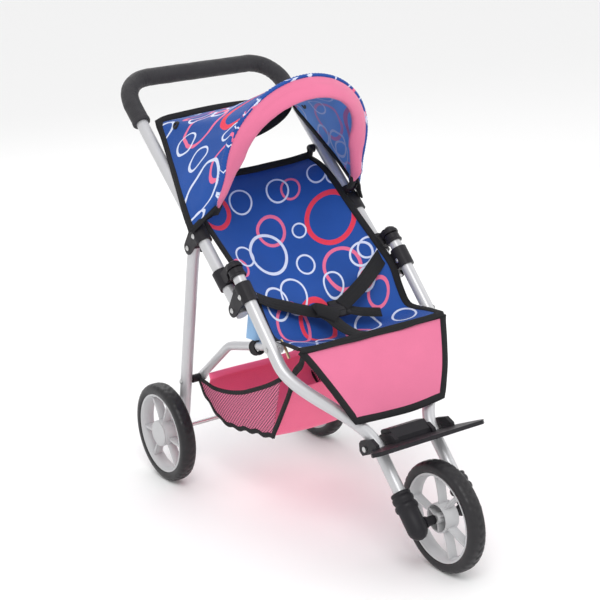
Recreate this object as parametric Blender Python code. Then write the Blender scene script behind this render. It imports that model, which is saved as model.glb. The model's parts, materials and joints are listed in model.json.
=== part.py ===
"""A folding three-wheeled doll stroller, one object for each separate piece, in metres.

The frame: +X to the pusher's left, the stroller faces -Y, +Z up, origin on the floor under the
middle of the whole stroller.

How it folds: the front tubes are the fixed frame. The U-shaped handle turns on the fold rivets at
the rear of the pivot brackets, the rear legs hang from the upper brackets on the handle, and the
bent link tubes hold the legs to the front tubes.
"""
import math

import bmesh
import bpy
from mathutils import Vector

# Driving dimensions
WHEEL_RADIUS = 0.070
TYRE_HALF_WIDTH = 0.0110
RIM_RADIUS = 0.0562
FRONT_AXLE_Y = -0.2337
WHEEL_BASE = 0.4592
REAR_TRACK_HALF = 0.1270
FRAME_HALF_WIDTH = 0.1210
FORK_HALF_WIDTH = 0.0420
TUBE_RADIUS = 0.0080
TUBE_BORE = 0.0070
GAP = 0.0003
FIT = 0.0003
RAIL_ANGLE = math.radians(48.15)
HANDLE_ANGLE = math.radians(42.6)
HANDLE_LENGTH = 0.3793
HANDLE_BEND = 0.0420
GRIP_RADIUS = 0.0119
GRIP_START = 0.3043
BRACKET_RADIUS = 0.0110
CHEEK_GAP_HALF = 0.0086
CHEEK_HALF = 0.0106
CHEEK_END = 0.0088
WEB_END = 0.0125
RIVET_RADIUS = 0.0020
RIVET_HEAD_RADIUS = 0.0036
RIVET_HEAD_HEIGHT = 0.0016
AXLE_RADIUS = 0.0030
SLIDE_TRAVEL = 0.030
FABRIC = 0.0026
TUBE_SIDES = 12
SIDES = {"right": -1, "left": 1}

FRONT_AXLE = Vector((0.0, FRONT_AXLE_Y, WHEEL_RADIUS))
REAR_AXLE = Vector((0.0, FRONT_AXLE_Y + WHEEL_BASE, WHEEL_RADIUS))
RAIL_UP = Vector((0.0, math.cos(RAIL_ANGLE), math.sin(RAIL_ANGLE)))
RAIL_BACK = Vector((0.0, math.sin(RAIL_ANGLE), -math.cos(RAIL_ANGLE)))
HANDLE_UP = Vector((0.0, math.cos(HANDLE_ANGLE), math.sin(HANDLE_ANGLE)))
HANDLE_BACK = Vector((0.0, math.sin(HANDLE_ANGLE), -math.cos(HANDLE_ANGLE)))
X_AXIS = Vector((1.0, 0.0, 0.0))


def rail(x, along, back=0.0):
    """A point on the plane of the front tubes, measured up from the front axle."""
    return FRONT_AXLE + Vector((x, 0.0, 0.0)) + RAIL_UP * along + RAIL_BACK * back


FOLD_ALONG = 0.3350
FOLD_BACK = 0.0305
FOLD_PIVOT = rail(0.0, FOLD_ALONG, FOLD_BACK)


def grip(x, along, back=0.0):
    """A point beside the handle tubes, measured up from the fold pivot."""
    return FOLD_PIVOT + Vector((x, 0.0, 0.0)) + HANDLE_UP * along + HANDLE_BACK * back


LEG_ALONG = 0.1172
LEG_BACK = 0.0259
LEG_PIVOT = grip(0.0, LEG_ALONG, LEG_BACK)
LEG_DOWN = (REAR_AXLE - LEG_PIVOT).normalized()
LINK_ALONG = 0.2620
LINK_PIVOT = rail(0.0, LINK_ALONG)
LEG_LENGTH = (REAR_AXLE - LEG_PIVOT).length
SPACER_DOWN = 0.7250 * LEG_LENGTH
SPACER_PIVOT = LEG_PIVOT + LEG_DOWN * SPACER_DOWN
BOW_ALONG = 0.1265
BOW_FORWARD = 0.0315
BOW_PIVOT = grip(0.0, BOW_ALONG, -BOW_FORWARD)

SILVER = ("silver_paint", (0.62, 0.63, 0.65), 0.28, 0.85)
STEEL = ("bright_steel", (0.75, 0.75, 0.75), 0.2, 1.0)
BLACK_PLASTIC = ("black_plastic", (0.02, 0.02, 0.022), 0.42, 0.0)
GREY_PLASTIC = ("light_grey_plastic", (0.56, 0.57, 0.59), 0.45, 0.0)
TYRE_BLACK = ("tyre_black", (0.025, 0.025, 0.027), 0.5, 0.0)
FOAM = ("dark_foam", (0.05, 0.05, 0.052), 0.75, 0.0)
BLUE = ("blue_fabric", (0.03, 0.09, 0.42), 0.8, 0.0)
PINK = ("pink_fabric", (0.88, 0.13, 0.32), 0.8, 0.0)
WEBBING = ("black_webbing", (0.015, 0.015, 0.016), 0.85, 0.0)


def clear_scene():
    for thing in list(bpy.data.objects):
        bpy.data.objects.remove(thing, do_unlink=True)


def finish_material(finish):
    name, colour, roughness, metallic = finish
    material = bpy.data.materials.get(name)
    if material is None:
        material = bpy.data.materials.new(name)
        material.use_nodes = True
        shader = material.node_tree.nodes["Principled BSDF"]
        shader.inputs["Base Color"].default_value = (*colour, 1.0)
        shader.inputs["Roughness"].default_value = roughness
        shader.inputs["Metallic"].default_value = metallic
    return material


def make_object(name, bm, finish, smooth=True):
    """Turns a bmesh into a named object with its faces pointing outwards."""
    bmesh.ops.recalc_face_normals(bm, faces=bm.faces)
    mesh = bpy.data.meshes.new(name)
    bm.to_mesh(mesh)
    bm.free()
    thing = bpy.data.objects.new(name, mesh)
    bpy.context.scene.collection.objects.link(thing)
    if finish:
        mesh.materials.append(finish_material(finish))
    if smooth:
        mesh.shade_smooth()
        mesh.set_sharp_from_angle(angle=math.radians(40.0))
    return thing


def place_origin(thing, point):
    """Moves an object's origin to a point and leaves its shape where it is."""
    for vertex in thing.data.vertices:
        vertex.co -= point
    thing.location = point


def combine(target, tool, operation):
    modifier = target.modifiers.new(tool.name, "BOOLEAN")
    modifier.operation = operation
    modifier.solver = "EXACT"
    modifier.object = tool
    tool.hide_render = True
    tool.display_type = "WIRE"


def bridge_rings(bm, first, second):
    count = len(first)
    for i in range(count):
        j = (i + 1) % count
        bm.faces.new((first[i], first[j], second[j], second[i]))


def section_ring(bm, centre, tangent, normal, half_normal, half_side, sides):
    side = tangent.cross(normal).normalized()
    up = side.cross(tangent).normalized()
    ring = []
    for k in range(sides):
        angle = 2.0 * math.pi * k / sides
        offset = up * (half_normal * math.cos(angle)) + side * (half_side * math.sin(angle))
        ring.append(bm.verts.new(centre + offset))
    return ring


def path_tangents(path):
    tangents = []
    for i in range(len(path)):
        before = path[max(i - 1, 0)]
        after = path[min(i + 1, len(path) - 1)]
        tangents.append((after - before).normalized())
    return tangents


def sweep(name, path, finish, normal, half_sizes, bore=None, sides=TUBE_SIDES):
    """A tube along a path; half_sizes is (along the normal, across it) or a list of such pairs."""
    if isinstance(half_sizes, tuple):
        half_sizes = [half_sizes] * len(path)
    bm = bmesh.new()
    tangents = path_tangents(path)
    outer = []
    for point, tangent, size in zip(path, tangents, half_sizes):
        outer.append(section_ring(bm, point, tangent, normal, size[0], size[1], sides))
    for first, second in zip(outer, outer[1:]):
        bridge_rings(bm, first, second)
    if bore is None:
        bm.faces.new(outer[0])
        bm.faces.new(outer[-1])
        return make_object(name, bm, finish)
    inner = []
    for point, tangent in zip(path, tangents):
        inner.append(section_ring(bm, point, tangent, normal, bore, bore, sides))
    for first, second in zip(inner, inner[1:]):
        bridge_rings(bm, first, second)
    bridge_rings(bm, outer[0], inner[0])
    bridge_rings(bm, outer[-1], inner[-1])
    return make_object(name, bm, finish)


def turn(name, profile, origin, axis, finish, steps=20):
    """Turns a profile of (along the axis, radius) points; on-axis ends close the solid."""
    bm = bmesh.new()
    axis = axis.normalized()
    across = axis.orthogonal().normalized()
    other = axis.cross(across)
    rings = []
    for along, radius in profile:
        centre = origin + axis * along
        if radius < 1e-7:
            rings.append([bm.verts.new(centre)])
            continue
        ring = []
        for k in range(steps):
            angle = 2.0 * math.pi * k / steps
            ring.append(bm.verts.new(centre + (across * math.cos(angle) + other * math.sin(angle)) * radius))
        rings.append(ring)
    pairs = list(zip(rings, rings[1:]))
    if len(rings[0]) > 1 and len(rings[-1]) > 1:
        pairs.append((rings[-1], rings[0]))
    for first, second in pairs:
        if len(first) == 1 or len(second) == 1:
            pole = first[0] if len(first) == 1 else second[0]
            ring = second if len(first) == 1 else first
            for i in range(len(ring)):
                bm.faces.new((pole, ring[i], ring[(i + 1) % len(ring)]))
        else:
            bridge_rings(bm, first, second)
    return make_object(name, bm, finish)


def rod(name, start, end, radius, finish=None, steps=12):
    length = (end - start).length
    return turn(name, [(0.0, 0.0), (0.0, radius), (length, radius), (length, 0.0)],
                start, end - start, finish, steps)


def prism(name, outline, x_low, x_high, finish):
    """Pushes an outline of (y, z) points along X."""
    bm = bmesh.new()
    low = [bm.verts.new((x_low, y, z)) for y, z in outline]
    high = [bm.verts.new((x_high, y, z)) for y, z in outline]
    bm.faces.new(low)
    bm.faces.new(high)
    bridge_rings(bm, low, high)
    return make_object(name, bm, finish, smooth=False)


def drill(target, centre, radius, half_length=0.02, axis=X_AXIS):
    tool = rod(target.name + "_drill", centre - axis * half_length, centre + axis * half_length, radius)
    combine(target, tool, "DIFFERENCE")


def rivet(name, centre, half_length, finish=STEEL):
    """A pin along X with a domed head at each end; half_length is to the underside of the heads."""
    head = RIVET_HEAD_HEIGHT
    profile = [
        (-half_length - head, 0.0),
        (-half_length - head * 0.75, RIVET_HEAD_RADIUS * 0.6),
        (-half_length, RIVET_HEAD_RADIUS),
        (-half_length, RIVET_RADIUS),
        (half_length, RIVET_RADIUS),
        (half_length, RIVET_HEAD_RADIUS),
        (half_length + head * 0.75, RIVET_HEAD_RADIUS * 0.6),
        (half_length + head, 0.0),
    ]
    return turn(name, profile, centre, X_AXIS, finish, 12)


def shell_sheet(name, rows, thickness, finish):
    """A closed sheet of even thickness over a grid of points."""
    height = len(rows)
    width = len(rows[0])
    bm = bmesh.new()
    faces = {}
    for side in (1, -1):
        grid = []
        for i in range(height):
            line = []
            for j in range(width):
                across = rows[i][min(j + 1, width - 1)] - rows[i][max(j - 1, 0)]
                down = rows[min(i + 1, height - 1)][j] - rows[max(i - 1, 0)][j]
                normal = across.cross(down).normalized()
                line.append(bm.verts.new(rows[i][j] + normal * (side * thickness / 2.0)))
            grid.append(line)
        for i in range(height - 1):
            for j in range(width - 1):
                bm.faces.new((grid[i][j], grid[i][j + 1], grid[i + 1][j + 1], grid[i + 1][j]))
        rim = grid[0][:]
        rim += [grid[i][-1] for i in range(1, height)]
        rim += [grid[-1][j] for j in range(width - 2, -1, -1)]
        rim += [grid[i][0] for i in range(height - 2, 0, -1)]
        faces[side] = rim
    bridge_rings(bm, faces[1], faces[-1])
    return make_object(name, bm, finish)


# The front frame


def splay(along):
    """Half the distance between the front tubes at a height along them."""
    low, high = 0.105, 0.240
    t = min(max((along - low) / (high - low), 0.0), 1.0)
    return FORK_HALF_WIDTH + (FRAME_HALF_WIDTH - FORK_HALF_WIDTH) * t * t * (3.0 - 2.0 * t)


TUBE_BOTTOM = 0.0125
TUBE_TOP = 0.3700
COLLAR_LOW = 0.3275
COLLAR_HIGH = 0.3540
BRACKET_RIVET = {"pivot": 0.3375, "upper": 0.1172}


def front_tube(side, sign):
    steps = [TUBE_BOTTOM, 0.060, 0.100]
    steps += [0.105 + 0.135 * k / 10.0 for k in range(1, 11)]
    steps += [0.262, 0.300, TUBE_TOP]
    path = [rail(sign * splay(along), along) for along in steps]
    tube = sweep("front_tube_" + side, path, SILVER, RAIL_BACK, (TUBE_RADIUS, TUBE_RADIUS), TUBE_BORE)
    hole = RIVET_RADIUS + FIT
    drill(tube, rail(sign * FORK_HALF_WIDTH, FOOTREST_ALONG), BOLT_RADIUS + FIT, 0.012)
    drill(tube, rail(sign * FRAME_HALF_WIDTH, LINK_ALONG), hole, 0.012)
    drill(tube, rail(sign * FRAME_HALF_WIDTH, BRACKET_RIVET["pivot"]), hole, 0.012)


def tube_cap(side, sign):
    """The plug over the top of a front tube that the lock's hood sits over."""
    profile = [
        (0.3640, TUBE_RADIUS + FIT),
        (0.3640, 0.0106),
        (0.3662, 0.0112),
        (0.3680, 0.0100),
        (0.3745, 0.0098),
        (0.3760, 0.0088),
        (0.3760, 0.0),
        (0.3703, 0.0),
        (0.3703, TUBE_RADIUS + FIT),
    ]
    turn_open(profile, "front_tube_cap_" + side, rail(sign * FRAME_HALF_WIDTH, 0.0), RAIL_UP, BLACK_PLASTIC)


def turn_open(profile, name, origin, axis, finish, steps=20):
    """Turns a cup: the two on-axis points are next to each other in the middle of the profile."""
    split = next(i for i, point in enumerate(profile) if point[1] < 1e-7)
    ordered = profile[split + 1:] + profile[:split + 1]
    return turn(name, ordered, origin, axis, finish, steps)


def cheek_outline(base, up, back, low, high, far_along, far_back):
    """Side view of a cheek: straight where it leaves the sleeve, round about the far rivet."""
    points = []
    centre = base + up * far_along + back * far_back
    for k in range(9):
        angle = -math.pi / 2.0 + math.pi * k / 8.0
        points.append(centre + up * (CHEEK_END * math.sin(angle)) + back * (CHEEK_END * math.cos(angle)))
    points.append(base + up * (high - 0.0008))
    points.append(base + up * (low + 0.0008))
    return [(p.y, p.z) for p in points]


def bracket(name, base, up, back, low, high, far_along, far_back, x_centre):
    """A sleeve round a tube with two cheeks that reach back to a second pivot."""
    origin = base + X_AXIS * x_centre
    bore = TUBE_RADIUS + FIT
    profile = [(low, bore), (low, BRACKET_RADIUS), (high, BRACKET_RADIUS), (high, bore)]
    body = turn(name, profile, origin, up, BLACK_PLASTIC, 24)
    outline = cheek_outline(base, up, back, low, high, far_along, far_back)
    for label, sign in (("_near", -1), ("_far", 1)):
        inner, outer = x_centre + sign * CHEEK_GAP_HALF, x_centre + sign * CHEEK_HALF
        combine(body, prism(name + label, outline, min(inner, outer), max(inner, outer), None), "UNION")
    corners = []
    for along, out in ((low, 0.0092), (high, 0.0092), (high, WEB_END), (low, WEB_END)):
        point = base + up * (along + (0.0012 if along == low else -0.0012)) + back * out
        corners.append((point.y, point.z))
    half = CHEEK_GAP_HALF + 0.0009
    combine(body, prism(name + "_web", corners, x_centre - half, x_centre + half, None), "UNION")
    drill(body, origin + up * BRACKET_RIVET[name[:5]], RIVET_RADIUS + FIT)
    drill(body, origin + up * far_along + back * far_back, RIVET_RADIUS + FIT)
    return body


def pivot_bracket(side, sign):
    x = sign * FRAME_HALF_WIDTH
    bracket("pivot_bracket_" + side, FRONT_AXLE, RAIL_UP, RAIL_BACK, COLLAR_LOW, COLLAR_HIGH,
            FOLD_ALONG, FOLD_BACK, x)
    half = BRACKET_RADIUS + GAP
    rivet("bracket_rivet_" + side, rail(x, BRACKET_RIVET["pivot"]), half)
    rivet("fold_rivet_" + side, rail(x, FOLD_ALONG, FOLD_BACK), half)
    rivet("link_rivet_" + side, rail(x, LINK_ALONG) - X_AXIS * (sign * 0.0025), TUBE_RADIUS + 0.0032)


def fork_boot(side, sign):
    """The bellows-shaped fork end with the stub that carries the axle."""
    x = sign * FORK_HALF_WIDTH
    bore = TUBE_RADIUS + FIT
    profile = [
        (0.0440, bore),
        (0.0440, 0.0112),
        (0.0400, 0.0122),
        (0.0355, 0.0118),
        (0.0300, 0.0132),
        (0.0250, 0.0126),
        (0.0215, 0.0112),
        (0.0170, 0.0122),
        (0.0120, 0.0122),
        (0.0090, 0.0114),
        (-0.0080, 0.0112),
        (-0.0140, 0.0090),
        (-0.0175, 0.0050),
        (-0.0185, 0.0),
        (TUBE_BOTTOM - GAP, 0.0),
        (TUBE_BOTTOM - GAP, bore),
    ]
    boot = turn_open(profile, "fork_boot_" + side, rail(x, 0.0), RAIL_UP, BLACK_PLASTIC, 20)
    inner = Vector((sign * (FORK_HALF_WIDTH - 0.008), 0.0, 0.0)) + FRONT_AXLE
    outer = Vector((sign * 0.0140, 0.0, 0.0)) + FRONT_AXLE
    stub = rod("fork_stub_" + side, inner, outer, 0.0060, None, 16)
    combine(boot, stub, "UNION")
    drill(boot, FRONT_AXLE + X_AXIS * (sign * 0.030), AXLE_RADIUS + FIT, 0.018)


BOLT_RADIUS = 0.0020
FOOTREST_ALONG = 0.1075
PLATE_TILT = math.radians(20.0)
PLATE_THICKNESS = 0.0050
PLATE_DEPTH = 0.0420


def footrest():
    """The tread plate in front of the tubes, its ears round both tubes and the box between them."""
    pivot = rail(0.0, FOOTREST_ALONG)
    forward = Vector((0.0, -math.cos(PLATE_TILT), math.sin(PLATE_TILT)))
    lift = Vector((0.0, math.sin(PLATE_TILT), math.cos(PLATE_TILT)))
    rear = pivot + forward * 0.0155 - lift * 0.0060
    half_rear, half_front, corner = 0.0600, 0.0850, 0.0070
    bm = bmesh.new()
    outline = [(-half_rear, 0.0), (half_rear, 0.0), (half_front - 0.004, PLATE_DEPTH * 0.62)]
    outline += [(half_front, PLATE_DEPTH - corner), (half_front - corner, PLATE_DEPTH)]
    outline += [(-half_front + corner, PLATE_DEPTH), (-half_front, PLATE_DEPTH - corner)]
    outline += [(-half_front + 0.004, PLATE_DEPTH * 0.62)]
    low = [bm.verts.new(rear + X_AXIS * x + forward * d) for x, d in outline]
    high = [bm.verts.new(rear + X_AXIS * x + forward * d + lift * PLATE_THICKNESS) for x, d in outline]
    bm.faces.new(low)
    bm.faces.new(high)
    bridge_rings(bm, low, high)
    plate = make_object("footrest", bm, BLACK_PLASTIC, smooth=False)

    def ear_outline(top):
        corners = [(0.0240, -0.0040), (0.0100, -0.0066), (-0.0100, -0.0080), (-0.0140, -0.0020)]
        corners += [(-0.0110, top - 0.003), (-0.0060, top), (0.0150, top), (0.0240, top - 0.008)]
        return [(p.y, p.z) for p in (pivot + forward * d + lift * h for d, h in corners)]

    for side, sign in SIDES.items():
        for label, inner, outer in (("outer", 0.0548, 0.0600), ("inner", 0.0255, 0.0310)):
            ear = prism("footrest_ear_" + label + side, ear_outline(0.0110),
                        min(sign * inner, sign * outer), max(sign * inner, sign * outer), None)
            combine(plate, ear, "UNION")
    corners = [(0.0200, -0.0040), (-0.0090, -0.0040), (-0.0090, 0.0145), (-0.0060, 0.0165)]
    corners += [(0.0100, 0.0165), (0.0200, 0.0050)]
    box = prism("footrest_box", [(p.y, p.z) for p in (pivot + forward * d + lift * h for d, h in corners)],
                -0.0270, 0.0270, None)
    combine(plate, box, "UNION")
    for side, sign in SIDES.items():
        drill(plate, pivot + X_AXIS * (sign * FORK_HALF_WIDTH), BOLT_RADIUS + FIT, 0.0180)
        turn("footrest_bolt_" + side, [
            (-0.0022, 0.0),
            (-0.0022, RIVET_HEAD_RADIUS),
            (0.0, RIVET_HEAD_RADIUS),
            (0.0, BOLT_RADIUS),
            (0.0320, BOLT_RADIUS),
            (0.0320, 0.0),
        ], pivot + X_AXIS * (sign * 0.0603), X_AXIS * -sign, STEEL, 12)


def front_axle():
    half = FORK_HALF_WIDTH + 0.0050
    rod("front_axle", FRONT_AXLE - X_AXIS * half, FRONT_AXLE + X_AXIS * half, AXLE_RADIUS, STEEL, 16)


# The wheels


def wheel(name, centre, sign):
    """Rim, three double spokes and a hub that is closed on its outer side, as one moulding."""
    half = 0.0099
    rim_profile = [
        (-half, RIM_RADIUS),
        (half, RIM_RADIUS),
        (half, 0.0535),
        (0.0030, 0.0500),
        (-0.0030, 0.0500),
        (-half, 0.0535),
    ]
    outward = X_AXIS * sign
    body = turn(name, rim_profile, centre, outward, GREY_PLASTIC, 28)
    hub_profile = [
        (-0.0105, AXLE_RADIUS + FIT),
        (-0.0105, 0.0062),
        (0.0060, 0.0062),
        (0.0060, 0.0155),
        (-0.0100, 0.0155),
        (-0.0100, 0.0185),
        (0.0095, 0.0185),
        (0.0105, 0.0170),
        (0.0105, AXLE_RADIUS + FIT),
    ]
    hub = turn(name + "_hub", hub_profile, centre, outward, None, 16)
    combine(body, hub, "UNION")
    bm = bmesh.new()
    for pair in range(3):
        for lean in (-1, 1):
            angle = math.radians(90.0 + 120.0 * pair + lean * 24.0)
            reach = Vector((0.0, math.cos(angle), math.sin(angle)))
            width = X_AXIS.cross(reach)
            corners = []
            for r, w in ((0.0170, 0.0022), (0.0515, 0.0034)):
                for x, s in ((-0.0050, 1), (0.0050, 1), (0.0050, -1), (-0.0050, -1)):
                    corners.append(bm.verts.new(centre + reach * r + width * (w * s) + X_AXIS * x))
            bm.faces.new(corners[:4])
            bm.faces.new(corners[4:])
            bridge_rings(bm, corners[:4], corners[4:])
    spokes = make_object(name + "_spokes", bm, None, smooth=False)
    combine(body, spokes, "UNION")
    return body


def tyre(name, centre):
    inner = RIM_RADIUS + GAP
    half = TYRE_HALF_WIDTH
    profile = [
        (-0.0099, inner),
        (0.0099, inner),
        (0.0110, 0.0590),
        (half, 0.0635),
        (0.0088, 0.0682),
        (0.0040, WHEEL_RADIUS),
        (-0.0040, WHEEL_RADIUS),
        (-0.0088, 0.0682),
        (-half, 0.0635),
        (-0.0110, 0.0590),
    ]
    return turn(name, profile, centre, X_AXIS, TYRE_BLACK, 32)


def wheels():
    wheel("front_wheel", FRONT_AXLE, 1)
    tyre("front_tyre", FRONT_AXLE)
    for side, sign in SIDES.items():
        centre = REAR_AXLE + X_AXIS * (sign * REAR_TRACK_HALF)
        wheel("rear_wheel_" + side, centre, sign)
        tyre("rear_tyre_" + side, centre)
        profile = [
            (0.0108, 0.0145),
            (0.0108, 0.0165),
            (0.0135, 0.0150),
            (0.0155, 0.0100),
            (0.0163, 0.0),
            (0.0145, 0.0),
            (0.0137, 0.0090),
            (0.0120, 0.0135),
        ]
        turn_open(profile, "hub_cap_" + side, centre, X_AXIS * sign, GREY_PLASTIC, 20)


# The handle and what rides on it


def handle_path():
    """From the right-hand end, round the crossbar, to the left-hand end."""
    straight = HANDLE_LENGTH - HANDLE_BEND
    half = FRAME_HALF_WIDTH
    path = [grip(-half, along) for along in (-0.0090, 0.1, GRIP_START, straight)]
    for k in range(1, 7):
        angle = math.pi / 2.0 * k / 6.0
        path.append(grip(-half + HANDLE_BEND * (1.0 - math.cos(angle)),
                         straight + HANDLE_BEND * math.sin(angle)))
    return path + [Vector((-p.x, p.y, p.z)) for p in reversed(path)]


def handle():
    path = handle_path()
    tube = sweep("handle_tube", path, SILVER, HANDLE_BACK, (TUBE_RADIUS, TUBE_RADIUS), TUBE_BORE)
    hole = RIVET_RADIUS + FIT
    for sign in SIDES.values():
        drill(tube, grip(sign * FRAME_HALF_WIDTH, 0.0), hole, 0.012)
        drill(tube, grip(sign * FRAME_HALF_WIDTH, LEG_ALONG), hole, 0.012)
    sweep("foam_grip", path[2:-2], FOAM, HANDLE_BACK, (GRIP_RADIUS, GRIP_RADIUS), TUBE_RADIUS + FIT)


def upper_bracket(side, sign):
    x = sign * FRAME_HALF_WIDTH
    bracket("upper_bracket_" + side, FOLD_PIVOT, HANDLE_UP, HANDLE_BACK, 0.1050, 0.1300,
            LEG_ALONG, LEG_BACK, x)
    half = BRACKET_RADIUS + GAP
    rivet("handle_rivet_" + side, grip(x, LEG_ALONG), half)
    rivet("leg_rivet_" + side, grip(x, LEG_ALONG, LEG_BACK), half)


SLIDER_LOW = 0.0330
SLIDER_HIGH = 0.0580


def slider_lock(side, sign):
    """The sliding lock: a sleeve on the handle tube with a hood over the front tube's cap."""
    x = sign * FRAME_HALF_WIDTH
    name = "slider_lock_" + side
    body = rod(name, grip(x, SLIDER_LOW), grip(x, SLIDER_HIGH), 0.0108, BLACK_PLASTIC, 24)
    hood_profile = [(0.3765, 0.0), (0.3765, 0.0108), (0.3800, 0.0106), (0.3840, 0.0082), (0.3868, 0.0042),
                    (0.3875, 0.0)]
    hood = turn(name + "_hood", hood_profile, rail(x, 0.0), RAIL_UP, None, 20)
    web_outline = [rail(0.0, 0.3768, 0.0020), rail(0.0, 0.3862, 0.0020), rail(0.0, 0.3855, 0.0300)]
    web_outline += [rail(0.0, 0.3740, 0.0300), rail(0.0, 0.3690, 0.0210), rail(0.0, 0.3700, 0.0135)]
    web_outline += [rail(0.0, 0.3768, 0.0125)]
    web = prism(name + "_web", [(p.y, p.z) for p in web_outline], x - 0.0070, x + 0.0070, None)
    combine(body, hood, "UNION")
    combine(body, web, "UNION")
    bore = rod(name + "_bore", grip(x, SLIDER_LOW - 0.01), grip(x, SLIDER_HIGH + 0.01),
               TUBE_RADIUS + FIT, None, 24)
    combine(body, bore, "DIFFERENCE")


BOW_TOP = Vector((0.0, FRONT_AXLE_Y + 0.2437, 0.5625))
BOW_RISE = (BOW_TOP - BOW_PIVOT)
BOW_UP = BOW_RISE.normalized()
BOW_BACK = BOW_UP.cross(X_AXIS).normalized()
if BOW_BACK.y < 0.0:
    BOW_BACK = -BOW_BACK
BOW_HALF_WIDTH = 0.0985
WIRE_RADIUS = 0.0017
CLIP_ALONG = 0.1380


def bow_point(t, back=0.0, out=0.0):
    """The hoop of the canopy, t from 0 at the right-hand end to 1 at the left-hand end."""
    rise = BOW_RISE.length
    leg = rise - BOW_HALF_WIDTH
    arch = math.pi * BOW_HALF_WIDTH
    total = 2.0 * leg + arch
    length = t * total
    radius = BOW_HALF_WIDTH + out
    if length < leg:
        x, up = -radius, length
    elif length > total - leg:
        x, up = radius, total - length
    else:
        angle = (length - leg) / BOW_HALF_WIDTH
        x, up = -radius * math.cos(angle), leg + radius * math.sin(angle)
    spread = 1.0 - min(1.0, up / 0.035)
    x = x * (1.0 + 0.05 * spread)
    return BOW_PIVOT + Vector((x, 0.0, 0.0)) + BOW_UP * up + BOW_BACK * back


def canopy_bow():
    """The hoop wire with its ends turned outwards into the eyes, and the padded sleeve on it."""
    hoop = [bow_point(0.022 + 0.956 * k / 21.0) for k in range(22)]
    ends = [Vector((-0.1175, 0, 0)), Vector((-0.1100, 0, 0)), Vector((-0.1070, 0, 0)) + BOW_UP * 0.0025]
    start = [BOW_PIVOT + point for point in ends]
    finish = [BOW_PIVOT + Vector((-point.x, point.y, point.z)) for point in reversed(ends)]
    sweep("canopy_bow", start + hoop + finish, STEEL, BOW_BACK, (WIRE_RADIUS, WIRE_RADIUS), sides=6)
    padded = hoop[2:-2]
    sizes = []
    for k in range(len(padded)):
        swell = min(1.0, 0.62 + 0.19 * min(k, len(padded) - 1 - k))
        sizes.append((0.0095 * swell, 0.0105 * swell))
    sweep("canopy_bow_pad", padded, PINK, BOW_BACK, sizes, WIRE_RADIUS + FIT, 8)


def canopy_clip(side, sign):
    """The clip above the bracket with the arm whose eye the hoop wire turns in."""
    name = "canopy_clip_" + side
    x = sign * FRAME_HALF_WIDTH
    low, high = CLIP_ALONG - 0.0050, CLIP_ALONG + 0.0050
    bore = TUBE_RADIUS + FIT
    profile = [(low, bore), (low, 0.0104), (high, 0.0104), (high, bore)]
    body = turn(name, profile, FOLD_PIVOT + X_AXIS * x, HANDLE_UP, BLACK_PLASTIC, 20)
    corners = [grip(0.0, low + 0.0008), grip(0.0, high - 0.0008)]
    for k in range(7):
        angle = math.radians(20.0 + 180.0 * k / 6.0)
        corners.append(BOW_PIVOT + HANDLE_UP * (0.0052 * math.cos(angle))
                       - HANDLE_BACK * (0.0052 * math.sin(angle)))
    inner, outer = sorted((sign * 0.1115, sign * 0.1127))
    arm = prism(name + "_arm", [(p.y, p.z) for p in corners], inner, outer, None)
    combine(body, arm, "UNION")
    drill(body, BOW_PIVOT + X_AXIS * (sign * 0.1125), WIRE_RADIUS + FIT, 0.0100)


def canopy_fabric():
    """The hood sheet from behind the padded hoop to the edge along the handle tubes."""
    corner_along, across_half = 0.2900, 0.1030
    rows = []
    columns = 21
    for i in range(6):
        v = i / 5.0
        row = []
        for j in range(columns):
            t = j / (columns - 1)
            front = bow_point(0.10 + 0.80 * t, 0.0160)
            if t < 0.3:
                edge = grip(-0.1035, 0.1420 + (corner_along - 0.1420) * t / 0.3, -0.0120)
            elif t > 0.7:
                edge = grip(0.1035, 0.1420 + (corner_along - 0.1420) * (1.0 - t) / 0.3, -0.0120)
            else:
                s = (t - 0.3) / 0.4
                edge = grip(across_half * (2.0 * s - 1.0), corner_along, -0.0120)
                edge += Vector((0.0, 0.0, 0.018 * math.sin(math.pi * s)))
            bulge = math.sin(math.pi * v) * math.sin(math.pi * t) * 0.006
            row.append(front.lerp(edge, v) + Vector((0.0, 0.0, bulge)))
        rows.append(row)
    shell_sheet("canopy_fabric", rows, FABRIC, BLUE)


BACK_HALF_WIDTH = 0.1075
BACK_PROFILE = [(0.4200, 0.4290), (0.3700, 0.3960), (0.3200, 0.3640), (0.2700, 0.3320), (0.2330, 0.3060),
                (0.2120, 0.2830), (0.2040, 0.2720)]


def backrest():
    rows = []
    for i, (y, z) in enumerate(BACK_PROFILE):
        drop = i / (len(BACK_PROFILE) - 1)
        row = []
        for j in range(9):
            x = BACK_HALF_WIDTH * (2.0 * j / 8.0 - 1.0)
            hollow = 1.0 - (x / BACK_HALF_WIDTH) ** 2
            sag = 0.006 + 0.020 * drop
            row.append(Vector((x, FRONT_AXLE_Y + y + sag * hollow, z - 0.35 * sag * hollow)))
        rows.append(row)
    shell_sheet("backrest_fabric", rows, FABRIC, BLUE)


KNOB_RADIUS = 0.0058
KNOB_END = 0.1040
KNOB_ALONG = 0.2220


def strap_clip(side, sign):
    """The screwed knob inside a handle tube that holds a top corner of the backrest."""
    start = FRAME_HALF_WIDTH - TUBE_RADIUS - FIT
    profile = [(-start, 0.0), (-start, KNOB_RADIUS), (-KNOB_END - 0.0025, KNOB_RADIUS),
               (-KNOB_END - 0.0005, KNOB_RADIUS - 0.0010), (-KNOB_END, 0.0)]
    origin = grip(0.0, KNOB_ALONG, 0.0060)
    turn("backrest_clip_" + side, profile, origin, X_AXIS * -sign, BLACK_PLASTIC, 16)


# The rear legs and the links


def leg_x(along):
    """Half the distance between the legs at a distance down from their top pivot."""
    start, end_half = 0.018, 0.0985
    t = max(0.0, (along - start) / (LEG_LENGTH - start))
    return FRAME_HALF_WIDTH + (end_half - FRAME_HALF_WIDTH) * t


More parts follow.
